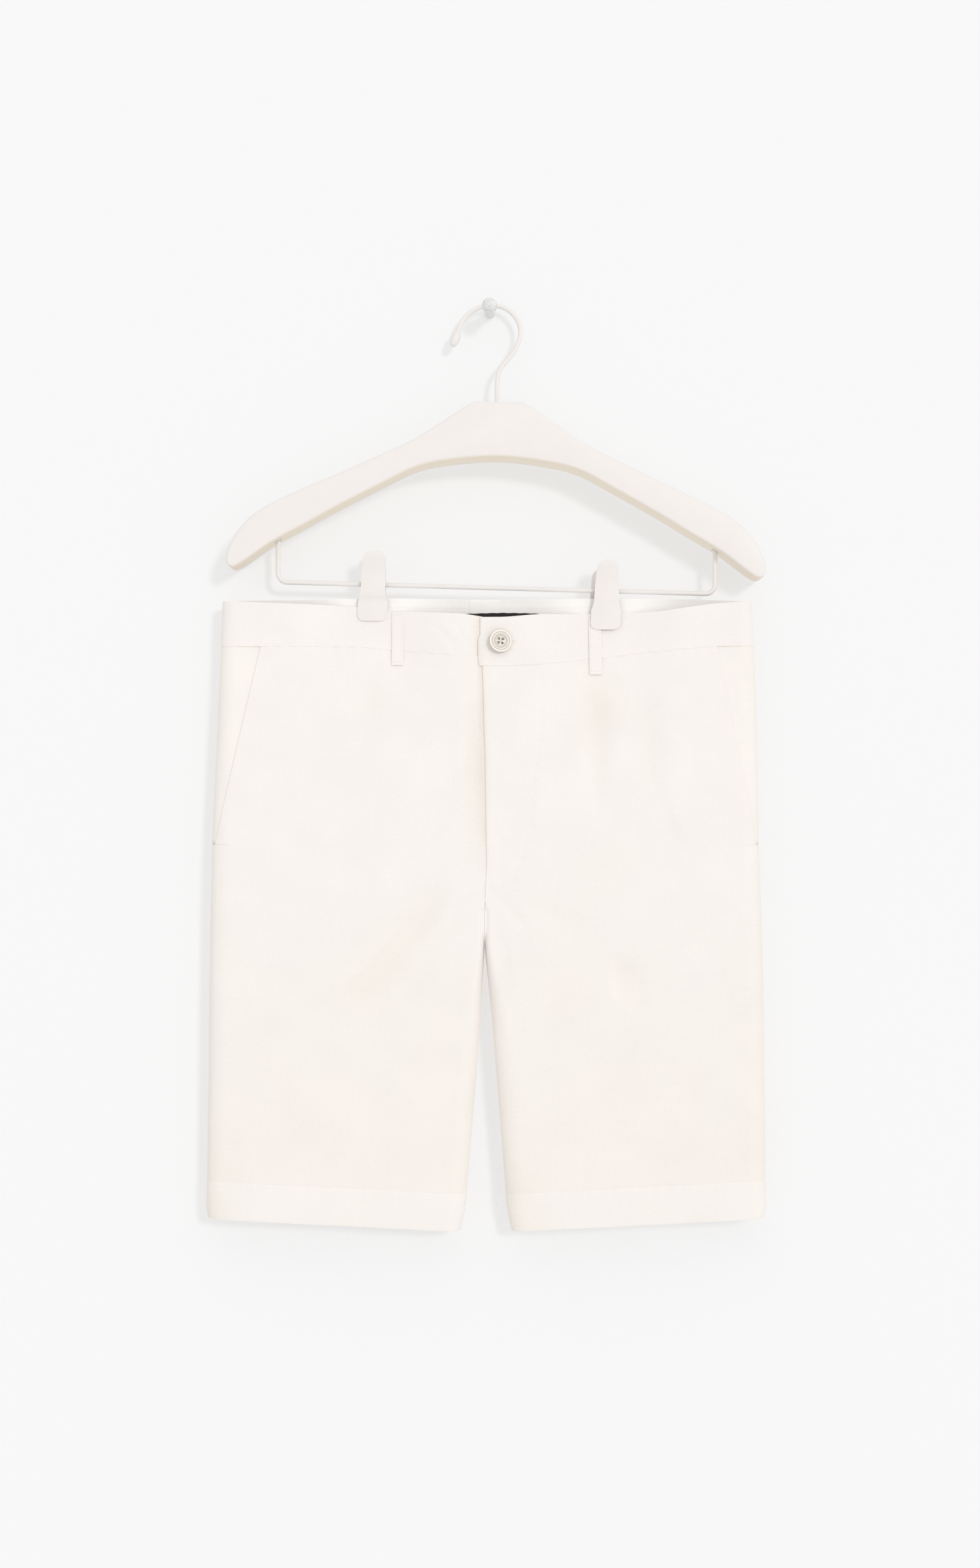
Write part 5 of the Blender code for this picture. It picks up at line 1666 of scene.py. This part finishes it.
@dataclass
class Shorts:
    """All the cloth, with its stitches."""

    drape: Drape = field(default_factory=Drape)

    def loops(self) -> list[BeltLoop]:
        """The five belt loops."""
        return [BeltLoop(self.drape, *row) for row in (
            (Face.FRONT, "front_right", -0.0772, 0.01, -0.255, -0.3005),
            (Face.FRONT, "front_left", 0.0885, 0.0108, -0.2575, -0.3085, 0.0008),
            (Face.BACK, "back_right", -0.166, 0.01, -0.249, -0.296),
            (Face.BACK, "back_centre", -0.004, 0.01, -0.249, -0.296),
            (Face.BACK, "back_left", 0.16, 0.01, -0.249, -0.296))]

    def build(self) -> None:
        """Make every piece of cloth, then its stitches."""
        panels = {(face, side): Panel(self.drape, face, side) for face in Face for side in Side}
        bands = {(face, side): Waistband(self.drape, face, side) for face in Face for side in Side}
        for panel in panels.values():
            panel.build()
            claim(sew(f"{panel.node}_hem_stitches", [panel.hem_stitches()]), "thread")
        for side in Side:
            PocketFacing(self.drape, side).build()
        for band in bands.values():
            band.build()
        BackLabel(self.drape).build()
        SeamAllowance(self.drape).build()
        rows = []
        for loop in self.loops():
            loop.build()
            rows += loop.tacks()
        claim(sew("belt_loop_stitches", rows), "thread")
        front = panels[Face.FRONT, Side.LEFT]
        route = smooth_route(FLY_STITCHING, 24)
        fly = front.stitches(route[:, 0], route[:, 1])
        claim(sew("fly_stitches", [fly]), "thread")
        inner = bands[Face.BACK, Side.RIGHT].inner_stitches()
        claim(sew("inner_band_stitches", [inner]), "thread")
        band = bands[Face.FRONT, Side.LEFT]
        claim(sew("buttonhole_stitches", self.buttonhole(band)), "thread")

    @staticmethod
    def buttonhole(band: Waistband) -> list[StitchRow]:
        """Close stitches along both lips of the buttonhole, which meet in a point."""
        rows = []
        start, stop = BUTTONHOLE_X
        for lip in (-1.0, 1.0):
            x = np.linspace(start + 0.001, stop, 40)
            z = BUTTONHOLE_Z + lip * 0.0011 * (1.0 - ease(stop - 0.0035, stop + 0.0006, x))
            row = band.stitches(x, z)
            row.pitch, row.length, row.width, row.height = 0.0007, 0.0011, 0.0007, 0.00028
            rows.append(row)
        return rows


# ------------------------------------------------------------------ the button

@dataclass
class WaistButton:
    """The four-hole button on the overlap, tilted a little on its thread."""

    drape: Drape
    x: float = 0.009
    z: float = -0.2806
    stand: float = 0.0023
    turn: Pair = (math.radians(13.0), math.radians(-5.0))
    hole_radius: float = 0.00098
    hole_offset: float = 0.0016
    hole_angle: float = 37.0
    thread_radius: float = 0.00042
    profile: tuple[Pair, ...] = (
        (0.0016, 0.0), (0.0016, 0.004), (0.0017, 0.0052), (0.0021, 0.006), (0.00245, 0.0066),
        (0.0026, 0.007), (0.0026, 0.0072), (0.0023, 0.0074), (0.0023, 0.00755), (0.0026, 0.0078),
        (0.0028, 0.0086), (0.00275, 0.009), (0.0023, 0.0093), (0.0015, 0.0094), (0.0007, 0.0091),
        (0.0002, 0.0083), (0.0, 0.007), (0.0, 0.0),
    )

    def place(self) -> Matrix:
        """Where the button lies: its turn and the middle of its underside."""
        face = Waistband(self.drape, Face.FRONT, Side.LEFT).surface(np.array([self.x]), np.array([self.z]))
        turn = Matrix.Rotation(self.turn[0], 4, "Z") @ Matrix.Rotation(math.pi / 2.0 + self.turn[1], 4, "X")
        return Matrix.Translation((self.x, float(face[0, 1]) - self.stand, self.z)) @ turn

    def hole_places(self) -> list[Vector]:
        """The middles of the four holes, in the button's own plane."""
        reach = self.hole_offset * math.sqrt(2.0)
        angles = [math.radians(self.hole_angle + 90.0 * index) for index in range(4)]
        return [Vector((math.cos(angle) * reach, math.sin(angle) * reach, 0.0)) for angle in angles]

    def build(self) -> None:
        """Make the button, its holes and the thread through them."""
        place = self.place()
        centre = tuple(place @ Vector((0.0, 0.0, 0.0022)))
        finish = HornButton(centre, tuple(place.to_3x3() @ Vector((0.0, 0.0, 1.0))))
        work = turned(self.profile, 64)
        button = place_piece("waist_button_horn", work, 45.0, finish, place)
        holes = [(place @ Matrix.Translation(middle + Vector((0.0, 0.0, 0.001))), self.hole_radius, 0.012)
                 for middle in self.hole_places()]
        bore(button, holes, 18)
        claim(button, "button", "waist_button")
        claim(self.thread(place), "thread", "button_thread")

    def thread(self, place: Matrix) -> Piece:
        """The thread: low in each hole, across behind the button, and a shank to the cloth."""
        holes = self.hole_places()
        work = bmesh.new()
        for first, second in ((0, 1), (2, 3)):
            start, stop = holes[first], holes[second]
            run = (stop - start).normalized() * 0.0002
            route = ((start - run, 0.0007), (start, 0.0002), (start + run, -0.0004),
                     ((start + stop) / 2.0, -0.0006),
                     (stop - run, -0.0004), (stop, 0.0002), (stop + run, 0.0007))
            points = [place @ (point + Vector((0.0, 0.0, rise))) for point, rise in route]
            sweep(work, smooth_route(points, 4), self.thread_radius, 8)
        start = place @ Vector((0.0, 0.0, -0.0003))
        foot = Vector((self.x, MID_Y - 0.0105, BUTTONHOLE_Z))
        sweep(work, smooth_route([start, (start + foot) / 2.0, foot], 4), 0.0009, 10)
        return place_piece("button_thread_twist", work, 60.0, THREAD)


def sweep(work: Work, route: Array, radius: float | Array, sides: int) -> None:
    """Sweep a round section along a route, with closed ends.

    Args:
        work: The bmesh that takes the tube.
        route: The places along its middle line.
        radius: One radius, or one for each place.
        sides: Sides of the section.
    """
    radii = np.broadcast_to(np.asarray(radius, float), (len(route),))
    turn = None
    rings = []
    for index, centre in enumerate(route):
        before, after = route[max(index - 1, 0)], route[min(index + 1, len(route) - 1)]
        run = Vector(after - before).normalized()
        if turn is None:
            turn = run.to_track_quat("Z", "Y")
        else:
            turn = (turn @ Vector((0.0, 0.0, 1.0))).rotation_difference(run) @ turn
        matrix = Matrix.Translation(Vector(centre)) @ turn.to_matrix().to_4x4()
        made = bmesh.ops.create_circle(work, cap_ends=index in (0, len(route) - 1), segments=sides,
                                       radius=float(radii[index]), matrix=matrix)
        rings.append(made["verts"])
    edges = []
    for ring in rings:
        members = set(ring)
        edges.append([edge for vertex in ring for edge in vertex.link_edges
                      if edge.verts[0] in members and edge.verts[1] in members])
    for first, second in zip(edges, edges[1:]):
        bmesh.ops.bridge_loops(work, edges=list(set(first)) + list(set(second)))
    bmesh.ops.recalc_face_normals(work, faces=work.faces)


# ------------------------------------------------------------------ hanger, hook and bar

def bar_height(x: float) -> float:
    """The middle of the trouser bar at a place across."""
    share = (x - BAR_RIGHT[0]) / (BAR_LEFT[0] - BAR_RIGHT[0])
    return BAR_RIGHT[1] + (BAR_LEFT[1] - BAR_RIGHT[1]) * share


@dataclass
class Hanger:
    """The plain hanger body, the wire hook and the bar that the clips ride on."""

    half_outline: tuple[Pair, ...] = (
        (0.019, 0.0), (0.026, 0.003), (0.068, 0.031), (0.097, 0.0455), (0.13, 0.061),
        (0.184, 0.086), (0.208, 0.1025), (0.221, 0.121), (0.2252, 0.135), (0.2225, 0.142),
        (0.214, 0.14), (0.188, 0.1215), (0.16, 0.1055), (0.135, 0.091), (0.095, 0.0695),
        (0.068, 0.056), (0.04, 0.0495),
    )
    centre_drop: float = 0.046
    hook_line: tuple[Pair, ...] = (
        (0.0064, -0.093), (0.0064, -0.074), (0.0066, -0.06), (0.009, -0.05), (0.015, -0.042),
        (0.0215, -0.033), (0.0262, -0.02), (0.024, -0.008), (0.0165, 0.001), (0.006, 0.0053),
        (-0.006, 0.0046), (-0.017, -0.001), (-0.0232, -0.009), (-0.0262, -0.0165),
    )
    tip: tuple[Pair, ...] = ((0.0, 0.0019), (0.0014, 0.00235), (0.0028, 0.0031), (0.005, 0.0037),
                             (0.0075, 0.0039), (0.01, 0.0037), (0.0122, 0.0031), (0.0138, 0.0021),
                             (0.0146, 0.001))

    def outline(self) -> Array:
        """The body's closed outline in its own plane, with straight top corners."""
        half = [(reach, -drop) for reach, drop in self.half_outline]
        lower = half[1:]
        mirrored = [(-reach, drop) for reach, drop in reversed(lower)]
        route = smooth_route(lower + [(0.0, -self.centre_drop)] + mirrored, 9)
        top = [(-0.019, 0.0), (-0.013, 0.0), (0.0, 0.0), (0.013, 0.0), (0.019, 0.0)]
        return np.vstack([route, np.array(top)])

    def body(self) -> Piece:
        """Make the hanger's body with rounded edges and its three sockets."""
        outline = self.outline()
        work = bmesh.new()
        made = bmesh.ops.create_circle(work, cap_ends=True, segments=len(outline), radius=1.0)
        for vertex, (across, height) in zip(made["verts"], outline):
            vertex.co = (across, -(HANGER_DEPTH / 2.0), height)
        grown = bmesh.ops.extrude_face_region(work, geom=list(work.faces))
        moved = [item for item in grown["geom"] if isinstance(item, bmesh.types.BMVert)]
        bmesh.ops.translate(work, verts=moved, vec=(0.0, HANGER_DEPTH, 0.0))
        bmesh.ops.recalc_face_normals(work, faces=work.faces)
        rims = [edge for edge in work.edges if abs(edge.verts[0].co.y - edge.verts[1].co.y) < 1e-6]
        bmesh.ops.bevel(work, geom=rims, offset=HANGER_EDGE, offset_type="OFFSET", segments=5,
                        profile=0.5, affect="EDGES", clamp_overlap=True, material=-1)
        place = Matrix.Translation((HANGER_X, MID_Y, HANGER_TOP_Z)) @ Matrix.Rotation(HANGER_ROLL, 4, "Y")
        body = place_piece("hanger_body_moulding", work, 35.0, PLASTIC, place)
        bore(body, self.sockets(), 20)
        # Painted shade: faces that look down are marked for the darker, warmer underside colour.
        down = np.empty(len(body.data.vertices) * 3, np.float32)
        body.data.vertices.foreach_get("normal", down)
        under = ease(0.35, 0.85, -down.reshape(-1, 3)[:, 2])
        layer = body.data.attributes.new("under", "FLOAT", "POINT")
        layer.data.foreach_set("value", under.astype(np.float32))
        return claim(body, "hanger_plastic", "hanger_body")

    def sockets(self) -> list[tuple[Matrix, float, float]]:
        """The middle, radius and length of the sockets of the stem and of the bar's two ends."""
        rows = ((self.hook_line[0][0], STEM_FOOT_Z + 0.015, WIRE_RADIUS, 0.03),
                (BAR_LEFT[0], BAR_TOPS[1] - 0.02, BAR_RADIUS, 0.04),
                (BAR_RIGHT[0], BAR_TOPS[0] - 0.02, BAR_RADIUS, 0.04))
        return [(Matrix.Translation((x, MID_Y, z)), radius + GAP, length) for x, z, radius, length in rows]

    def hook_y(self, z: Array) -> Array:
        """The wire leans towards the wall from its foot to its top."""
        top = max(height for _, height in self.hook_line)
        return MID_Y + (HOOK_TOP_Y - MID_Y) * (z - STEM_FOOT_Z) / (top - STEM_FOOT_Z)

    def hook(self) -> Piece:
        """Make the hook's wire with its drop-shaped end."""
        flat = smooth_route(self.hook_line, 9)
        route = np.stack([flat[:, 0], self.hook_y(flat[:, 1]), flat[:, 1]], axis=1)
        run = route[-1] - route[-2]
        run /= np.linalg.norm(run)
        tip = np.array([route[-1] + run * along for along, _ in self.tip])
        radii = np.concatenate([np.full(len(route) - 1, WIRE_RADIUS), [radius for _, radius in self.tip]])
        work = bmesh.new()
        sweep(work, np.vstack([route[:-1], tip]), radii, 18)
        return claim(place_piece("hanger_hook_wire", work, 50.0, WIRE), "hook_paint", "hanger_hook")

    def bar(self) -> Piece:
        """Make the bar, bent up at both ends into the arms."""
        route = [(BAR_RIGHT[0], BAR_TOPS[0])]
        route += corner(BAR_RIGHT[0] + BAR_CORNER, BAR_RIGHT[1] + BAR_CORNER, 180.0, 270.0)
        route += corner(BAR_LEFT[0] - BAR_CORNER, BAR_LEFT[1] + BAR_CORNER, 270.0, 360.0)
        route.append((BAR_LEFT[0], BAR_TOPS[1]))
        path = np.array([(x, MID_Y, z) for x, z in route])
        work = bmesh.new()
        sweep(work, path, BAR_RADIUS, 18)
        return claim(place_piece("trouser_bar_rod", work, 50.0, WIRE), "hanger_plastic", "trouser_bar")

    def build(self) -> None:
        """Make the three pieces."""
        self.body()
        self.hook()
        self.bar()


def corner(centre_x: float, centre_z: float, start: float, stop: float) -> list[Pair]:
    """A quarter turn of the bar, from one angle in degrees to another."""
    angles = [math.radians(start + (stop - start) * step / 9) for step in range(10)]
    return [(centre_x + BAR_CORNER * math.cos(angle), centre_z + BAR_CORNER * math.sin(angle))
            for angle in angles]


class LeverRow(NamedTuple):
    """A lever's half width and its stand-off from the middle plane, at one drop."""

    drop: float
    half: float
    stand: float


LEVER_ROWS = tuple(LeverRow(*row) for row in (
    (0.0, 0.009, 0.0088), (0.0035, 0.009, 0.0084), (0.008, 0.0092, 0.0072),
    (0.02, 0.0099, 0.005), (0.033, 0.0104, 0.0046), (0.036, 0.0107, 0.0042),
    (0.0395, 0.0116, 0.003), (0.0425, 0.0125, 0.0), (0.0535, 0.0126, 0.0),
    (0.0562, 0.0116, 0.0), (0.0578, 0.0096, 0.0), (0.0584, 0.007, 0.0),
))


@dataclass
class Clip:
    """A clip on the bar: two levers and the sleeve between them."""

    side: Side
    centre: float
    top: float
    lean: float
    front_grip: float
    flat: float
    corner: float
    rib: float = 0.0
    back_shift: float = 0.0
    back_drop: float = 0.0
    wall: float = 0.0022
    jaw_wall: float = 0.0013
    sleeve_radii: Pair = (0.0043, 0.0023)
    sleeve_length: float = 0.014

    def lever(self, word: str, sign: float, grip: float) -> Piece:
        """Make one lever: a bent plate with a round handle and a wider jaw."""
        drops = graded(0.0, LEVER_ROWS[-1].drop, 0.0016, 0.0005, (0.0, 0.045, 0.0596), 0.005)
        half = Profile(tuple((row.drop, row.half) for row in LEVER_ROWS), 0.0004).at(drops)
        stand = Profile(tuple((row.drop, row.stand) for row in LEVER_ROWS), 0.0012).at(drops)
        stand = np.maximum(stand, grip)
        round_top = np.sqrt(1.0 - (1.0 - np.clip(drops / self.corner, 0.02, 1.0)) ** 2)
        half = self.flat + (half - self.flat) * round_top
        pivot = bar_height(self.centre)
        columns = 15
        share = np.sin(np.linspace(-math.pi / 2.0, math.pi / 2.0, columns))
        z = np.repeat((self.top - drops)[:, None], columns, axis=1)
        x = self.centre + math.tan(self.lean) * (z - pivot) + half[:, None] * share[None, :]
        thin = ease(0.036, 0.044, drops)[:, None]
        wall = self.wall - 0.0004 + (self.jaw_wall - self.wall + 0.0004) * thin
        swell = 0.0004 * (1.0 - share ** 2)[None, :] * ease(0.0, 0.006, drops)[:, None]
        raised = ease(0.03, 0.032, drops) * (1.0 - ease(0.044, 0.047, drops))
        swell = swell + self.rib * np.exp(-(share / 0.2) ** 2)[None, :] * raised[:, None]
        y = MID_Y + sign * (stand[:, None] + wall + swell)
        grid = np.stack([x, y, z], axis=-1)
        face = Face.FRONT if sign < 0.0 else Face.BACK
        name = f"clip_{self.side.word}_{word}_lever"
        mesh, _, _ = grid_mesh(name, face, grid)
        mesh.set_sharp_from_angle(angle=math.radians(60.0))
        plate = link(name, mesh, PLASTIC.material())
        step = plate.modifiers.new("wall", "SOLIDIFY")
        step.thickness = self.jaw_wall
        step.offset = -1.0
        round_edges(plate, 0.0005, 3, 50.0)
        return claim(plate, "hanger_plastic", f"clip_{self.side.word}_{word}")

    def sleeve(self) -> Piece:
        """Make the sleeve that rides on the bar."""
        slope = (BAR_LEFT[1] - BAR_RIGHT[1]) / (BAR_LEFT[0] - BAR_RIGHT[0])
        turn = Vector((1.0, 0.0, slope)).to_track_quat("Z", "Y").to_matrix().to_4x4()
        place = Matrix.Translation((self.centre, MID_Y, bar_height(self.centre))) @ turn
        outer, inner = self.sleeve_radii
        half = self.sleeve_length / 2.0
        work = turned(((-half, inner), (-half, outer), (half, outer), (half, inner)), 32, True)
        sleeve = place_piece(f"clip_{self.side.word}_sleeve_ring", work, 40.0, PLASTIC, place)
        round_edges(sleeve, 0.0004, 3)
        return claim(sleeve, "hanger_plastic", f"clip_{self.side.word}_sleeve")

    def build(self) -> None:
        """Make the clip."""
        self.lever("front", -1.0, self.front_grip)
        shift = Clip(self.side, self.centre - self.back_shift, self.top - self.back_drop, self.lean,
                     self.front_grip, self.flat, self.corner)
        shift.lever("back", 1.0, CLIP_BACK_GRIP)
        self.sleeve()


@dataclass
class WallKnob:
    """The knob that the hook hangs on: a domed head on a fluted, tapering neck."""

    flutes: int = 12
    flute_depth: float = 0.05
    neck_end: float = 0.0312
    neck_wide: float = 1.32
    neck_deep: float = 1.15
    profile: tuple[Pair, ...] = (
        (0.0415, 0.0), (0.0413, 0.0012), (0.041, 0.0023), (0.0404, 0.0034), (0.0396, 0.0043),
        (0.0384, 0.0052), (0.0372, 0.0058), (0.0358, 0.0063), (0.0345, 0.0065), (0.0334, 0.0065),
        (0.0324, 0.0062), (0.0316, 0.0055), (0.0308, 0.0048), (0.029, 0.0044), (0.024, 0.0039),
        (0.018, 0.0035), (0.012, 0.0033), (0.006, 0.0033), (0.0, 0.0034), (0.0, 0.0),
    )

    def build(self) -> Piece:
        """Make the knob."""
        work = turned(self.profile, self.flutes * 6)
        for vertex in work.verts:
            x, up, along = vertex.co
            if math.hypot(x, up) > 0.001 and along < self.neck_end:
                flute = 1.0 - abs(math.cos(self.flutes * math.atan2(up, x) / 2.0))
                scale = 1.0 - self.flute_depth * flute
                vertex.co.x = x * scale * self.neck_wide
                vertex.co.y = up * scale * (1.0 if up > 0.0 else self.neck_deep)
        outwards = Matrix.Rotation(math.pi / 2.0, 4, "X")
        return claim(place_piece("wall_knob_head", work, 50.0, KNOB, outwards), "knob", "wall_knob")


# ------------------------------------------------------------------ the studio

@dataclass
class Studio:
    """A pale wall and floor, soft light, and the camera."""

    wall_tone: Triple = (0.92, 0.92, 0.92)
    ambient: float = 0.86
    key_power: float = 0.64
    key_from: Triple = (0.46, -1.0, 0.31)
    grain_dip: float = 0.996
    key_spread: float = math.radians(9.0)
    wall_glow: float = 0.42
    camera_place: Triple = (0.0005, -1.8, -0.4)
    lens: float = 48.48

    def plain(self, name: str, one_sided: bool) -> Paint:
        """A matt paint with a faint grain, seen from one side only if asked."""
        sheet = Sheet(name)
        grain = sheet.noise(sheet.object_place(), 3.0, 3.0, 0.5)
        shares = (1.0, 1.0 - self.wall_glow)
        tones = [tuple(value * share for value in self.wall_tone) for share in shares]
        full, lit = (sheet.blend(grain, tuple(value * self.grain_dip for value in tone), tone)
                     for tone in tones)
        sheet.set(Base_Color=lit if one_sided else full, Roughness=0.95, Specular_IOR_Level=0.0)
        if one_sided:
            sheet.set(Emission_Color=full, Emission_Strength=self.wall_glow * 1.02)
            clear = sheet.add("BsdfTransparent")
            side = sheet.add("NewGeometry").outputs["Backfacing"]
            mix = sheet.add("MixShader", {0: side, 1: sheet.shader.outputs[0], 2: clear.outputs[0]})
            output = next(node for node in sheet.tree.nodes if node.type == "OUTPUT_MATERIAL")
            sheet.tree.links.new(mix.outputs[0], output.inputs["Surface"])
        return sheet.material

    def plane(self, name: str, matrix: Matrix, material: Paint) -> Piece:
        """A large flat sheet of the stage."""
        work = bmesh.new()
        bmesh.ops.create_grid(work, x_segments=4, y_segments=4, size=3.0, matrix=matrix)
        made = link(name, to_mesh(name, work), material)
        return made

    def build(self) -> None:
        """Make the wall, floor, light, world and camera."""
        scene = bpy.context.scene
        upright = Matrix.Translation((0.0, 0.0015, 0.0)) @ Matrix.Rotation(math.pi / 2.0, 4, "X")
        back = self.plane("studio_wall", upright, self.plain("wall_paint", True))
        back.visible_diffuse = back.visible_glossy = back.visible_transmission = back.visible_shadow = False
        self.plane("studio_floor", Matrix.Translation((0.0, 0.0, -1.15)),
                   self.plain("floor_paint", False))
        world = bpy.data.worlds.new("soft_room")
        world.use_nodes = True
        sky = world.node_tree.nodes["Background"]
        sky.inputs["Color"].default_value = (1.0, 1.0, 1.0, 1.0)
        sky.inputs["Strength"].default_value = self.ambient
        scene.world = world
        lamp = bpy.data.lights.new("key_light", "SUN")
        lamp.energy = self.key_power
        lamp.angle = self.key_spread
        key = bpy.data.objects.new("key_light", lamp)
        key.location = Vector(self.key_from) * 2.0
        key.rotation_euler = (-Vector(self.key_from)).to_track_quat("-Z", "Y").to_euler()
        scene.collection.objects.link(key)
        optics = bpy.data.cameras.new("front_camera")
        optics.lens = self.lens
        optics.sensor_width = 36.0
        optics.clip_start = 0.01
        camera = bpy.data.objects.new("front_camera", optics)
        camera.location = self.camera_place
        camera.rotation_euler = (math.radians(90.0), 0.0, 0.0)
        scene.collection.objects.link(camera)
        scene.camera = camera
        scene.view_settings.view_transform = "Standard"
        scene.view_settings.look = "None"
        LOG.info("studio: wall, floor, key light and camera")


def main() -> None:
    """Build every piece in order, then the stage."""
    logging.basicConfig(level=logging.INFO, format="%(name)s: %(message)s")
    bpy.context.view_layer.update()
    shorts = Shorts()
    shorts.build()
    WaistButton(shorts.drape).build()
    Hanger().build()
    Clip(Side.RIGHT, CLIP_X[0], -0.2046, math.radians(2.0), 0.0025, 0.0042, 0.0055).build()
    Clip(Side.LEFT, CLIP_X[1], -0.2119, math.radians(2.2), 0.0041, 0.0012, 0.0082, 0.0003,
         0.0032, 0.006).build()
    WallKnob().build()
    Studio().build()


if __name__ == "__main__":
    main()
